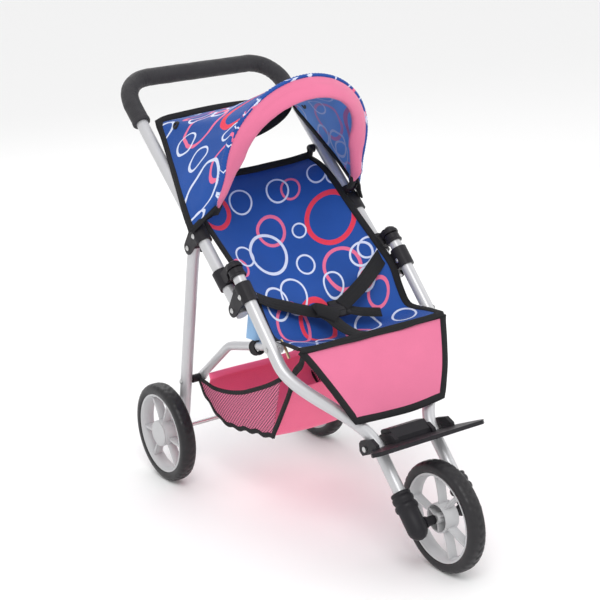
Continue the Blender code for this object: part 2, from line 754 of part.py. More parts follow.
def rear_leg(side, sign):
    path = [LEG_PIVOT + LEG_DOWN * along + X_AXIS * (sign * leg_x(along))
            for along in (-0.0090, 0.012, 0.024, 0.12, 0.24, LEG_LENGTH + 0.0120)]
    leg = sweep("rear_leg_" + side, path, SILVER, X_AXIS, (TUBE_RADIUS, TUBE_RADIUS), TUBE_BORE)
    drill(leg, path[0] + LEG_DOWN * 0.0090, RIVET_RADIUS + FIT, 0.012)
    spacer_x = leg_x(SPACER_DOWN)
    drill(leg, SPACER_PIVOT + X_AXIS * (sign * spacer_x), RIVET_RADIUS + FIT, 0.012)
    drill(leg, REAR_AXLE + X_AXIS * (sign * leg_x(LEG_LENGTH)), AXLE_RADIUS + FIT, 0.012)
    inner = spacer_x - TUBE_RADIUS - 0.0008
    low, high = LINK_END_X + 0.0040, inner
    spacer = rod("link_spacer_" + side, SPACER_PIVOT + X_AXIS * (sign * low),
                 SPACER_PIVOT + X_AXIS * (sign * high), 0.0056, BLACK_PLASTIC, 16)
    drill(spacer, SPACER_PIVOT + X_AXIS * (sign * (low + high) / 2.0), RIVET_RADIUS + FIT, 0.012)
    outer = spacer_x + TUBE_RADIUS + 0.0006
    turn("spacer_rivet_" + side, [
        (RIVET_HEAD_HEIGHT, 0.0),
        (RIVET_HEAD_HEIGHT * 0.75, RIVET_HEAD_RADIUS * 0.6),
        (0.0, RIVET_HEAD_RADIUS),
        (0.0, RIVET_RADIUS),
        (low - outer, RIVET_RADIUS),
        (low - outer, 0.0),
    ], SPACER_PIVOT + X_AXIS * (sign * outer), X_AXIS * sign, STEEL, 12)


def rear_axle():
    half = REAR_TRACK_HALF + 0.0125
    rod("rear_axle", REAR_AXLE - X_AXIS * half, REAR_AXLE + X_AXIS * half, AXLE_RADIUS, STEEL, 16)


LINK_TOP_X = 0.1092
LINK_END_X = 0.0795
LINK_RADIUS = 0.0057
LINK_FLAT = 0.0019


def link_tube(side, sign):
    """The bent tube from the front tube to the leg's spacer, pressed flat at both ends."""
    bend = Vector((0.0, FRONT_AXLE_Y + 0.3330, 0.2215))
    top = LINK_PIVOT
    low = SPACER_PIVOT
    down = (low - bend).normalized()
    first = (bend - top).normalized()
    stations = [
        (top - first * 0.0065, LINK_TOP_X, LINK_FLAT, 0.0045),
        (top - first * 0.0035, LINK_TOP_X, LINK_FLAT, 0.0070),
        (top + first * 0.0100, LINK_TOP_X, LINK_FLAT, 0.0078),
        (top + first * 0.0260, 0.1040, LINK_RADIUS, LINK_RADIUS),
        (bend - first * 0.0300, 0.0920, LINK_RADIUS, LINK_RADIUS),
        (bend - first * 0.0180, 0.0905, LINK_RADIUS, LINK_RADIUS),
        (bend - first * 0.0070 + down * 0.0010, 0.0896, LINK_RADIUS, LINK_RADIUS),
        (bend + down * 0.0070 - first * 0.0010, 0.0888, LINK_RADIUS, LINK_RADIUS),
        (bend + down * 0.0180, 0.0880, LINK_RADIUS, LINK_RADIUS),
        (low - down * 0.0260, 0.0840, LINK_RADIUS, LINK_RADIUS),
        (low - down * 0.0110, LINK_END_X + LINK_FLAT, LINK_FLAT, 0.0078),
        (low + down * 0.0035, LINK_END_X + LINK_FLAT, LINK_FLAT, 0.0070),
        (low + down * 0.0065, LINK_END_X + LINK_FLAT, LINK_FLAT, 0.0045),
    ]
    path = [point + X_AXIS * (sign * x) for point, x, _, _ in stations]
    sizes = [(a, b) for _, _, a, b in stations]
    link = sweep("link_tube_" + side, path, SILVER, X_AXIS, sizes, sides=12)
    drill(link, top + X_AXIS * (sign * LINK_TOP_X), RIVET_RADIUS + FIT, 0.006)


# The soft parts on the frame


def seat():
    """The seat sling from its front edge to the crease, lower in the middle."""
    rows = []
    for i in range(6):
        v = i / 5.0
        row = []
        for j in range(9):
            x = 0.1050 * (2.0 * j / 8.0 - 1.0)
            hollow = 1.0 - (x / 0.1050) ** 2
            rear_y = 0.1900 + 0.0350 * hollow
            y = 0.1340 + (rear_y - 0.1340) * v
            z = 0.2700 - 0.0030 * v - hollow * (0.004 + 0.012 * v)
            row.append(Vector((x, FRONT_AXLE_Y + y, z)))
        rows.append(row)
    shell_sheet("seat_fabric", rows, FABRIC, BLUE)


def apron():
    """The pink front panel that hangs from the seat's front edge in front of the tubes."""
    rows = []
    for i in range(6):
        v = i / 5.0
        half = 0.1060 - 0.0410 * v ** 0.9
        row = []
        for j in range(7):
            x = half * (2.0 * j / 6.0 - 1.0)
            crown = 1.0 - (x / half) ** 2
            y = 0.1290 - 0.0470 * v - 0.0050 * crown * math.sin(math.pi * v)
            z = 0.2690 - 0.0850 * v
            row.append(Vector((x, FRONT_AXLE_Y + y, z)))
        rows.append(row)
    shell_sheet("front_apron", rows, FABRIC, PINK)


def basket():
    """The shopping net: an open tray with sloping ends, its four walls and floor in one skin."""
    rim = [(0.0730, 0.4030, 0.1560), (0.0780, 0.3100, 0.1620), (0.0860, 0.2060, 0.2020)]
    floor = [(0.0690, 0.3760, 0.1040), (0.0720, 0.3100, 0.1040), (0.0780, 0.2400, 0.1160)]
    bm = bmesh.new()
    wall = FABRIC

    def loop(points, inset, lift):
        right = [bm.verts.new((-(x - inset), FRONT_AXLE_Y + y, z + lift)) for x, y, z in points]
        left = [bm.verts.new((x - inset, FRONT_AXLE_Y + y, z + lift)) for x, y, z in reversed(points)]
        return right + left

    def shrink(points):
        (xa, ya, za), middle, (xb, yb, zb) = points
        return [(xa, ya - wall, za), middle, (xb, yb + wall, zb)]

    outer_rim = loop(rim, 0.0, 0.0)
    outer_floor = loop(floor, 0.0, 0.0)
    inner_rim = loop(shrink(rim), wall, 0.0)
    inner_floor = loop(shrink(floor), wall, wall)
    bridge_rings(bm, outer_rim, outer_floor)
    bridge_rings(bm, inner_rim, inner_floor)
    bridge_rings(bm, outer_rim, inner_rim)
    for ring in (outer_floor, inner_floor):
        bm.faces.new((ring[0], ring[1], ring[4], ring[5]))
        bm.faces.new((ring[1], ring[2], ring[3], ring[4]))
    make_object("storage_basket", bm, PINK, smooth=False)


def strap(name, points, width, normal):
    """A flat strap along a path, its face towards the normal."""
    sweep(name, points, WEBBING, normal, (0.0009, width / 2.0), sides=8)


def harness():
    y0 = FRONT_AXLE_Y
    up = Vector((0.0, -0.5, 0.86))
    buckle = Vector((0.0, y0 + 0.2060, 0.2790))
    strap("harness_strap_right", [Vector((-0.1000, y0 + 0.2420, 0.3230)),
                                  Vector((-0.0620, y0 + 0.2300, 0.2980)),
                                  Vector((-0.0225, y0 + 0.2120, 0.2820))], 0.0180, up)
    strap("harness_strap_left", [Vector((0.1000, y0 + 0.2620, 0.3390)),
                                 Vector((0.0620, y0 + 0.2370, 0.3040)),
                                 Vector((0.0225, y0 + 0.2140, 0.2830))], 0.0180, up)
    strap("crotch_strap", [Vector((0.0, y0 + 0.1900, 0.2740)), Vector((0.0, y0 + 0.1720, 0.2690)),
                           Vector((0.0, y0 + 0.1560, 0.2705))], 0.0180, Vector((0.0, 0.1, 1.0)))
    bm = bmesh.new()
    corners = []
    for lift in (-0.0030, 0.0030):
        for a, b in ((-0.0190, -0.0100), (0.0190, -0.0100), (0.0190, 0.0100), (-0.0190, 0.0100)):
            point = buckle + X_AXIS * a + Vector((0.0, b * 0.9, b * 0.25)) + Vector((0.0, 0.0, lift))
            corners.append(bm.verts.new(point))
    bm.faces.new(corners[:4])
    bm.faces.new(corners[4:])
    bridge_rings(bm, corners[:4], corners[4:])
    make_object("harness_buckle", bm, BLACK_PLASTIC, smooth=False)


def main():
    clear_scene()
    for side, sign in SIDES.items():
        front_tube(side, sign)
        tube_cap(side, sign)
        pivot_bracket(side, sign)
        fork_boot(side, sign)
        upper_bracket(side, sign)
        slider_lock(side, sign)
        canopy_clip(side, sign)
        strap_clip(side, sign)
        rear_leg(side, sign)
        link_tube(side, sign)
    front_axle()
    footrest()
    wheels()
    handle()
    canopy_bow()
    canopy_fabric()
    backrest()
    rear_axle()
    seat()
    apron()
    basket()
    harness()


main()
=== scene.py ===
import json
import math

import bmesh
import bpy
from bpy.props import FloatProperty, FloatVectorProperty, PointerProperty
from mathutils import Matrix, Vector, noise


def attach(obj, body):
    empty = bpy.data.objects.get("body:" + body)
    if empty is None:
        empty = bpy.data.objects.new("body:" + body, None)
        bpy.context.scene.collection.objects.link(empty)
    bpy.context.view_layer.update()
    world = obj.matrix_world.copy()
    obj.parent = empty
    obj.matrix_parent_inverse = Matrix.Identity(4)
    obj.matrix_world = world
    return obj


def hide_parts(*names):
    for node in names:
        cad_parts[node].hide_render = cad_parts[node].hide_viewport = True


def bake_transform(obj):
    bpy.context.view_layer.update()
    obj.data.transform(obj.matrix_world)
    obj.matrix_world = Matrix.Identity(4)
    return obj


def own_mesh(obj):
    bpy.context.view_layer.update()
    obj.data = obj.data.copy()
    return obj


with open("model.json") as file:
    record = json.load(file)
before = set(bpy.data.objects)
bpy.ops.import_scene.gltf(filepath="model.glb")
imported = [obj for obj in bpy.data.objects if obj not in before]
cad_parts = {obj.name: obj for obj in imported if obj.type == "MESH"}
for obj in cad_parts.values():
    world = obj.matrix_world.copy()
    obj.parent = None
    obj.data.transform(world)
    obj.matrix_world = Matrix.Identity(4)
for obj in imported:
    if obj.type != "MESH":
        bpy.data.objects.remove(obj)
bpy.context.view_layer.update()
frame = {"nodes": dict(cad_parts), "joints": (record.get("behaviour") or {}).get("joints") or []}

bl_info = {
    "name": "Doll Stroller",
    "version": (1, 0, 0),
    "blender": (4, 5, 0),
    "location": "3D Viewport > Sidebar > Stroller",
    "description": "Models the visible parts of a folding doll stroller round its packed frame",
    "category": "Add Mesh",
}

SIDES = (("right", -1.0), ("left", 1.0))
X_AXIS = Vector((1.0, 0.0, 0.0))

# The frame's own layout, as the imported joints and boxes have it
JOINTS = {joint["name"]: joint for joint in frame["joints"]}
FRONT_AXLE = Vector(JOINTS["front_wheel_spin"]["pos_m"])
REAR_AXLE = Vector((0.0, *JOINTS["rear_wheel_spin_left"]["pos_m"][1:]))
FOLD_PIVOT = Vector(JOINTS["handle_fold"]["pos_m"])
LEG_PIVOT = Vector(JOINTS["leg_fold"]["pos_m"])
HOOP_PIVOT = Vector(JOINTS["hood_fold"]["pos_m"])
LINK_PIVOT = Vector((0.0, *JOINTS["link_fold_left"]["pos_m"][1:]))
HANDLE_UP = Vector(JOINTS["lock_slide_left"]["axis"]).normalized()
HANDLE_BACK = Vector((0.0, HANDLE_UP.z, -HANDLE_UP.y))
RAIL_ANGLE = math.radians(48.15)
RAIL_UP = Vector((0.0, math.cos(RAIL_ANGLE), math.sin(RAIL_ANGLE)))
HALF_WIDTH = 0.1210
FORK_HALF = 0.0420
HANDLE_LENGTH = 0.3793
GRIP_START = 0.3043
LEG_DOWN = (REAR_AXLE - LEG_PIVOT).normalized()
LEG_LENGTH = (REAR_AXLE - LEG_PIVOT).length
SPACER_PIVOT = LEG_PIVOT + LEG_DOWN * (0.725 * LEG_LENGTH)


def rail(x, along):
    return FRONT_AXLE + Vector((x, 0.0, 0.0)) + RAIL_UP * along


def grip(x, along, back=0.0):
    return FOLD_PIVOT + Vector((x, 0.0, 0.0)) + HANDLE_UP * along + HANDLE_BACK * back


def axle_frame(x, y, z):
    """A point given from the floor under the front axle."""
    return Vector((x, FRONT_AXLE.y + y, z))


LINK_BEND = axle_frame(0.0, 0.3330, 0.2215)
LINK_FIRST = (LINK_BEND - LINK_PIVOT).normalized()
HANDLE_BEND = 0.0420
WHEEL_HALF_TRACK = 0.1270
TAPE_THICK = 0.0030
WEBBING_THICK = 0.0016


class StrollerSizes(bpy.types.PropertyGroup):
    tube_radius: FloatProperty(name="Tube radius", description="Outside radius of the frame tubes",
                               default=0.0080, unit="LENGTH")
    grip_radius: FloatProperty(name="Grip radius", description="Outside radius of the foam sleeve",
                               default=0.0119, unit="LENGTH")
    tyre_radius: FloatProperty(name="Tyre radius", description="Outside radius of the tyres",
                               default=FRONT_AXLE.z, unit="LENGTH")
    cloth: FloatProperty(name="Cloth thickness", description="Thickness of the woven cloth",
                         default=0.0012, unit="LENGTH")
    binding: FloatProperty(name="Binding width", description="Width of the black tape round the cloth",
                           default=0.0100, unit="LENGTH")
    strap: FloatProperty(name="Strap width", description="Width of the harness straps",
                         default=0.0200, unit="LENGTH")


def colour(name, words, default):
    return FloatVectorProperty(name=name, description=words, default=default, subtype="COLOR", size=3,
                               min=0.0, max=1.0)


class StrollerColours(bpy.types.PropertyGroup):
    paint: colour("Paint", "Satin paint on the tubes", (0.54, 0.54, 0.555))
    plastic: colour("Black plastic", "Brackets, boots and footrest", (0.015, 0.014, 0.017))
    moulding: colour("Wheel moulding", "Light grey rims and caps", (0.50, 0.50, 0.51))
    tyre: colour("Tyre", "Soft plastic tyres", (0.017, 0.016, 0.018))
    foam: colour("Foam", "Foam sleeve on the handle", (0.026, 0.025, 0.028))
    blue: colour("Blue", "Ground of the ring print", (0.013, 0.076, 0.345))
    # The wrong side's pale blue is partly the cloth's own unprinted back and partly painted light, standing
    # in for light through the thin hood cloth
    pale: colour("Pale blue", "Wrong side of the printed cloth", (0.140, 0.350, 0.820))
    pink: colour("Pink", "Plain pink cloth", (0.780, 0.185, 0.330))
    tape: colour("Tape", "Black tape and webbing", (0.010, 0.010, 0.011))


# Finishes


def add_node(tree, kind, **settings):
    node = tree.nodes.new(kind)
    for key, value in settings.items():
        setattr(node, key, value)
    return node


def math_node(tree, operation, first, second=None):
    node = add_node(tree, "ShaderNodeMath", operation=operation)
    for socket, value in zip(node.inputs, (first, second)):
        if isinstance(value, bpy.types.NodeSocket):
            tree.links.new(value, socket)
        elif value is not None:
            socket.default_value = value
    return node.outputs[0]


def vector_node(tree, operation, first, second=None):
    node = add_node(tree, "ShaderNodeVectorMath", operation=operation)
    for socket, value in zip(node.inputs, (first, second)):
        if isinstance(value, bpy.types.NodeSocket):
            tree.links.new(value, socket)
        elif value is not None:
            socket.default_value = value
    return node.outputs[0]


def mix_colour(tree, factor, first, second, blend_type="MIX"):
    node = add_node(tree, "ShaderNodeMix", data_type="RGBA", blend_type=blend_type)
    for index, value in ((0, factor), (6, first), (7, second)):
        socket = node.inputs[index]
        if isinstance(value, bpy.types.NodeSocket):
            tree.links.new(value, socket)
        elif index == 0:
            socket.default_value = value
        else:
            socket.default_value = (*value[:3], 1.0)
    return node.outputs[2]


def noise_node(tree, vector, scale, detail=3.0):
    node = add_node(tree, "ShaderNodeTexNoise")
    node.inputs["Scale"].default_value = scale
    node.inputs["Detail"].default_value = detail
    tree.links.new(vector, node.inputs["Vector"])
    return node.outputs["Fac"]


def ramp(tree, value, low, high, out_low=0.0, out_high=1.0):
    node = add_node(tree, "ShaderNodeMapRange")
    for key, number in (("From Min", low), ("From Max", high), ("To Min", out_low), ("To Max", out_high)):
        node.inputs[key].default_value = number
    tree.links.new(value, node.inputs["Value"])
    return node.outputs["Result"]


def bump(tree, shader, height, distance, strength=1.0):
    node = add_node(tree, "ShaderNodeBump")
    node.inputs["Distance"].default_value = distance
    node.inputs["Strength"].default_value = strength
    tree.links.new(height, node.inputs["Height"])
    tree.links.new(node.outputs["Normal"], shader.inputs["Normal"])


def blank_finish(name, metallic=0.0, roughness=0.5, shine=0.5):
    material = bpy.data.materials.new(name)
    material.use_nodes = True
    tree = material.node_tree
    shader = tree.nodes["Principled BSDF"]
    shader.inputs["Metallic"].default_value = metallic
    shader.inputs["Roughness"].default_value = roughness
    shader.inputs["Specular IOR Level"].default_value = shine
    return material, tree, shader


def object_place(tree):
    return add_node(tree, "ShaderNodeTexCoord").outputs["Object"]


def solid_finish(name, base, roughness, metallic=0.0, grain=900.0, depth=0.00006, worn=0.12, coat=0.0,
                 shine=0.5):
    """A hard finish: cloudy colour, uneven gloss and a fine surface grain."""
    material, tree, shader = blank_finish(name, metallic, roughness, shine)
    place = object_place(tree)
    cloud = noise_node(tree, place, 38.0, 4.0)
    darker = [channel * (1.0 - worn) for channel in base]
    lighter = [min(1.0, channel * (1.0 + worn)) for channel in base]
    tint = mix_colour(tree, cloud, darker, lighter)
    tree.links.new(tint, shader.inputs["Base Color"])
    gloss = noise_node(tree, place, 120.0, 5.0)
    gloss = ramp(tree, gloss, 0.3, 0.7, roughness * 0.85, roughness * 1.15)
    tree.links.new(gloss, shader.inputs["Roughness"])
    bump(tree, shader, noise_node(tree, place, grain, 2.0), depth)
    if coat:
        shader.inputs["Coat Weight"].default_value = coat
        shader.inputs["Coat Roughness"].default_value = 0.25
    return material


def foam_finish(name, base):
    """Closed-cell foam with a leathery skin."""
    material, tree, shader = blank_finish(name, 0.0, 0.55, 0.30)
    place = object_place(tree)
    cells = add_node(tree, "ShaderNodeTexVoronoi", feature="DISTANCE_TO_EDGE")
    cells.inputs["Scale"].default_value = 520.0
    tree.links.new(place, cells.inputs["Vector"])
    pores = ramp(tree, cells.outputs["Distance"], 0.0, 0.25)
    fine = noise_node(tree, place, 1400.0, 2.0)
    height = math_node(tree, "ADD", pores, math_node(tree, "MULTIPLY", fine, 0.5))
    lighter = [channel * 1.5 for channel in base]
    tint = mix_colour(tree, noise_node(tree, place, 60.0, 4.0), base, lighter)
    tree.links.new(tint, shader.inputs["Base Color"])
    gloss = ramp(tree, noise_node(tree, place, 90.0, 3.0), 0.3, 0.7, 0.42, 0.60)
    tree.links.new(gloss, shader.inputs["Roughness"])
    bump(tree, shader, height, 0.00045, 0.9)
    return material


def cloth_place(tree):
    node = add_node(tree, "ShaderNodeUVMap", uv_map="cloth")
    return node.outputs["UV"]


def weave_height(tree, place, pitch):
    """Plain weave: two crossing sets of threads."""
    split = add_node(tree, "ShaderNodeSeparateXYZ")
    tree.links.new(place, split.inputs[0])
    waves = []
    for axis in ("X", "Y"):
        turned = math_node(tree, "MULTIPLY", split.outputs[axis], 2.0 * math.pi / pitch)
        waves.append(math_node(tree, "SINE", turned))
    return math_node(tree, "MULTIPLY", waves[0], waves[1])


def cloth_finish(name, base, pitch=0.0007, roughness=0.72, sheen=0.25, colour_socket=None, tree_parts=None):
    """Woven polyester: threads, slight slubs, a soft sheen, and painted shade that darkens the weave's
    hollows and lightens the thread crests.
    """
    material, tree, shader = tree_parts or blank_finish(name, 0.0, roughness, 0.3)
    place = cloth_place(tree)
    threads = weave_height(tree, place, pitch)
    slub = noise_node(tree, place, 260.0, 3.0)
    ground = colour_socket
    if ground is None:
        darker = [channel * 0.86 for channel in base]
        ground = mix_colour(tree, noise_node(tree, place, 22.0, 3.0), darker, base)
    # Painted shade: the cloth colour is darker in the hollows between threads and lighter on their crests
    painted_weave_shade = ramp(tree, threads, -1.0, 1.0, 0.90, 1.06)
    grey = add_node(tree, "ShaderNodeCombineColor")
    for index in range(3):
        tree.links.new(painted_weave_shade, grey.inputs[index])
    tree.links.new(mix_colour(tree, 1.0, ground, grey.outputs[0], "MULTIPLY"), shader.inputs["Base Color"])
    shader.inputs["Sheen Weight"].default_value = sheen
    shader.inputs["Sheen Roughness"].default_value = 0.4
    bump(tree, shader, math_node(tree, "ADD", threads, slub), 0.00012, 0.5)
    return material


PRINT_WIDTH, PRINT_LENGTH = 0.2200, 0.3480
RING_STRETCH, RING_SHEAR = 1.20, 0.28
WHITE, PINK, CORAL = (0.66, 0.72, 0.90), (0.83, 0.16, 0.30), (0.80, 0.045, 0.090)
# (across, down, radius, line) of each ring in one repeat of the print
RINGS = (
    (0.187, 0.117, 0.0333, 0.0069, CORAL),
    (0.026, 0.070, 0.0246, 0.0067, CORAL),
    (0.086, 0.262, 0.0257, 0.0063, CORAL),
    (0.158, 0.050, 0.0140, 0.0034, PINK),
    (0.099, 0.112, 0.0208, 0.0047, PINK),
    (0.161, 0.200, 0.0260, 0.0047, PINK),
    (0.046, 0.262, 0.0252, 0.0045, PINK),
    (0.012, 0.172, 0.0123, 0.0034, PINK),
    (0.190, 0.248, 0.0146, 0.0040, PINK),
    (0.122, 0.304, 0.0175, 0.0040, PINK),
    (0.073, 0.151, 0.0283, 0.0043, WHITE),
    (0.205, 0.039, 0.0138, 0.0025, WHITE),
    (0.003, 0.054, 0.0105, 0.0022, WHITE),
    (0.139, 0.047, 0.0166, 0.0027, WHITE),
    (0.077, 0.055, 0.0170, 0.0027, WHITE),
    (0.139, 0.121, 0.0101, 0.0025, WHITE),
    (0.117, 0.179, 0.0131, 0.0027, WHITE),
    (0.033, 0.151, 0.0143, 0.0027, WHITE),
    (0.194, 0.190, 0.0152, 0.0030, WHITE),
    (0.206, 0.184, 0.0131, 0.0027, WHITE),
    (0.136, 0.219, 0.0143, 0.0026, WHITE),
    (0.070, 0.222, 0.0201, 0.0029, WHITE),
    (0.036, 0.231, 0.0185, 0.0029, WHITE),
    (0.182, 0.226, 0.0117, 0.0029, WHITE),
    (0.150, 0.286, 0.0175, 0.0031, WHITE),
    (0.024, 0.318, 0.0193, 0.0031, WHITE),
    (0.196, 0.302, 0.0158, 0.0031, WHITE),
    (0.066, 0.306, 0.0129, 0.0029, WHITE),
)


def ring_group():
    """A node group whose output is 1 on one ring of the repeating print."""
    group = bpy.data.node_groups.new("print_ring", "ShaderNodeTree")
    face = group.interface
    face.new_socket("Place", in_out="INPUT", socket_type="NodeSocketVector")
    face.new_socket("Centre", in_out="INPUT", socket_type="NodeSocketVector")
    face.new_socket("Radius", in_out="INPUT", socket_type="NodeSocketFloat")
    face.new_socket("Line", in_out="INPUT", socket_type="NodeSocketFloat")
    face.new_socket("Mask", in_out="OUTPUT", socket_type="NodeSocketFloat")
    inlet = group.nodes.new("NodeGroupInput")
    outlet = group.nodes.new("NodeGroupOutput")
    moved = vector_node(group, "SUBTRACT", inlet.outputs["Place"], inlet.outputs["Centre"])
    repeats = vector_node(group, "DIVIDE", moved, (PRINT_WIDTH, PRINT_LENGTH, 1.0))
    wrapped = vector_node(group, "FRACTION", vector_node(group, "ADD", repeats, (0.5, 0.5, 0.0)))
    nearest = vector_node(group, "MULTIPLY", vector_node(group, "SUBTRACT", wrapped, (0.5, 0.5, 0.0)),
                          (PRINT_WIDTH, PRINT_LENGTH, 0.0))
    split = add_node(group, "ShaderNodeSeparateXYZ")
    group.links.new(nearest, split.inputs[0])
    sheared = math_node(group, "MULTIPLY", split.outputs["Y"], RING_SHEAR)
    leaning = math_node(group, "ADD", split.outputs["X"], sheared)
    flattened = math_node(group, "DIVIDE", split.outputs["Y"], RING_STRETCH)
    length = math_node(group, "SQRT", math_node(group, "ADD", math_node(group, "MULTIPLY", leaning, leaning),
                                                math_node(group, "MULTIPLY", flattened, flattened)))
    off = math_node(group, "ABSOLUTE", math_node(group, "SUBTRACT", length, inlet.outputs["Radius"]))
    mask = math_node(group, "LESS_THAN", off, math_node(group, "MULTIPLY", inlet.outputs["Line"], 0.5))
    group.links.new(mask, outlet.inputs["Mask"])
    return group


def ring_print(name, ground, group, shift=(0.0, 0.0), fade=0.0, squiggle=0.0):
    """The blue cloth printed with open rings; fade washes it out, as on the wrong side, where the paler
    colour is partly the cloth's unprinted back and partly painted light through the thin cloth.
    """
    parts = blank_finish(name, 0.0, 0.62, 0.25)
    tree = parts[1]
    place = vector_node(tree, "ADD", cloth_place(tree), (shift[0], shift[1], 0.0))
    if squiggle:
        wander = add_node(tree, "ShaderNodeTexNoise")
        wander.inputs["Scale"].default_value = 24.0
        wander.inputs["Detail"].default_value = 1.0
        tree.links.new(place, wander.inputs["Vector"])
        offset = vector_node(tree, "SUBTRACT", wander.outputs["Color"], (0.5, 0.5, 0.5))
        wobble = vector_node(tree, "MULTIPLY", offset, (squiggle, squiggle, 0.0))
        place = vector_node(tree, "ADD", place, wobble)
    colour_socket = mix_colour(tree, noise_node(tree, place, 16.0, 3.0), [c * 0.78 for c in ground],
                               [min(1.0, c * 1.18) for c in ground])
    for across, down, radius, line, ink in RINGS:
        ring = tree.nodes.new("ShaderNodeGroup")
        ring.node_tree = group
        tree.links.new(place, ring.inputs["Place"])
        ring.inputs["Centre"].default_value = (across, down, 0.0)
        ring.inputs["Radius"].default_value = radius
        ring.inputs["Line"].default_value = line
        shown = [a + (b - a) * fade for a, b in zip(ink, ground)]
        colour_socket = mix_colour(tree, ring.outputs["Mask"], colour_socket, shown)
    return cloth_finish(name, ground, 0.0007, 0.62, 0.05, colour_socket, parts)


def tape_finish(name, base):
    """Black polypropylene tape with a herringbone rib, its colour lighter on the rib crests and darker in
    the grooves as painted highlight and shade.
    """
    material, tree, shader = blank_finish(name, 0.0, 0.8, 0.12)
    place = cloth_place(tree)
    split = add_node(tree, "ShaderNodeSeparateXYZ")
    tree.links.new(place, split.inputs[0])
    folded = math_node(tree, "PINGPONG", split.outputs["X"], 0.0025)
    slanted = math_node(tree, "ADD", folded, split.outputs["Y"])
    ribs = math_node(tree, "SINE", math_node(tree, "MULTIPLY", slanted, 2.0 * math.pi / 0.0016))
    # Painted highlight and shade: the tape colour is lighter on the rib crests and darker in the grooves
    lighter = [channel * 2.6 for channel in base]
    tree.links.new(mix_colour(tree, ramp(tree, ribs, -1.0, 1.0), base, lighter), shader.inputs["Base Color"])
    shader.inputs["Sheen Weight"].default_value = 0.04
    bump(tree, shader, ribs, 0.00020, 0.7)
    return material


NET_PITCH = 0.0052


def net_finish(name, thread, ground):
    """Black diamond net in front of the pink cloth that shows between its threads."""
    material, tree, shader = blank_finish(name, 0.0, 0.75)
    place = cloth_place(tree)
    split = add_node(tree, "ShaderNodeSeparateXYZ")
    tree.links.new(place, split.inputs[0])
    lines = []
    for sign in (1.0, -1.0):
        leaning = math_node(tree, "MULTIPLY", split.outputs["Y"], sign)
        slanted = math_node(tree, "ADD", split.outputs["X"], leaning)
        repeat = math_node(tree, "FRACT", math_node(tree, "DIVIDE", slanted, NET_PITCH))
        lines.append(math_node(tree, "ABSOLUTE", math_node(tree, "SUBTRACT", repeat, 0.5)))
    nearest = math_node(tree, "MINIMUM", lines[0], lines[1])
    thread_mask = math_node(tree, "LESS_THAN", nearest, 0.12)
    tree.links.new(mix_colour(tree, thread_mask, ground, thread), shader.inputs["Base Color"])
    bump(tree, shader, thread_mask, 0.0005, 0.8)
    return material


FINISH = {}


# Painted light: a faint pink glow on the basket's lining, standing in for light through the thin cloth and
# lifting its shaded inside
LINING_PAINTED_GLOW = 0.12


def make_finishes():
    tone = bpy.context.scene.stroller_colours
    group = ring_group()
    FINISH["paint"] = solid_finish("satin_paint", tone.paint, 0.36, 0.35, 1600.0, 0.00002, 0.04, 0.3)
    FINISH["steel"] = solid_finish("bright_steel", (0.55, 0.55, 0.55), 0.28, 1.0, 1200.0, 0.00003)
    FINISH["brass"] = solid_finish("zip_brass", (0.72, 0.58, 0.34), 0.3, 1.0, 1200.0, 0.00003)
    FINISH["plastic"] = solid_finish("black_plastic", tone.plastic, 0.44, 0.0, 1500.0, 0.00008, 0.25,
                                     shine=0.22)
    FINISH["moulding"] = solid_finish("wheel_moulding", tone.moulding, 0.42, 0.0, 1300.0, 0.00004, 0.05)
    FINISH["tyre"] = solid_finish("tyre_plastic", tone.tyre, 0.40, 0.0, 700.0, 0.00012, 0.25, 0.0, 0.32)
    FINISH["foam"] = foam_finish("foam_skin", tone.foam)
    FINISH["print"] = ring_print("ring_print", tone.blue, group)
    FINISH["hood_print"] = ring_print("hood_print", tone.blue, group, (0.03, 0.11), 0.0, 0.020)
    # Partly painted light: the hood's inside is washed pale as if lit through the thin cloth
    FINISH["print_back"] = ring_print("ring_print_back", tone.pale, group, (0.03, 0.11), 0.45, 0.008)
    FINISH["pink"] = cloth_finish("pink_cloth", tone.pink)
    FINISH["lining"] = cloth_finish("pink_lining", (0.92, 0.150, 0.290))
    # Painted light: the lining glows faintly pink in place of light coming through the thin cloth
    lining = FINISH["lining"].node_tree.nodes["Principled BSDF"]
    lining.inputs["Emission Color"].default_value = (0.85, 0.16, 0.30, 1.0)
    lining.inputs["Emission Strength"].default_value = LINING_PAINTED_GLOW
    FINISH["pale"] = cloth_finish("pale_cloth", (0.33, 0.56, 0.86))
    FINISH["tape"] = tape_finish("black_tape", tone.tape)
    FINISH["net"] = net_finish("black_net", tone.tape, tone.pink)


def dress(thing, finish):
    thing.data.materials.clear()
    thing.data.materials.append(FINISH[finish])


def settle(thing, name, finish, body, replaced=()):
    """Names a finished piece, gives it its finish and hands it to the body it moves with."""
    thing.name = name
    thing.data.name = name
    dress(thing, finish)
    if replaced:
        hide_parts(*replaced)
    if body:
        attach(thing, body)
    return thing


# Modelling tools


def deselect():
    active = bpy.context.view_layer.objects.active
    if active is not None and active.mode != "OBJECT":
        bpy.ops.object.mode_set(mode="OBJECT")
    bpy.ops.object.select_all(action="DESELECT")


def pick(*things):
    deselect()
    for thing in things:
        thing.select_set(True)
    bpy.context.view_layer.objects.active = things[0]


def smooth(thing, angle=35.0):
    pick(thing)
    bpy.ops.object.shade_smooth_by_angle(angle=math.radians(angle))


def modify(thing, kind, **settings):
    pick(thing)
    modifier = thing.modifiers.new(kind.lower(), kind)
    for key, value in settings.items():
        setattr(modifier, key, value)
    bpy.ops.object.modifier_apply(modifier=modifier.name)
    return thing


def join(things):
    pick(*things)
    bpy.ops.object.join()
    return bpy.context.view_layer.objects.active


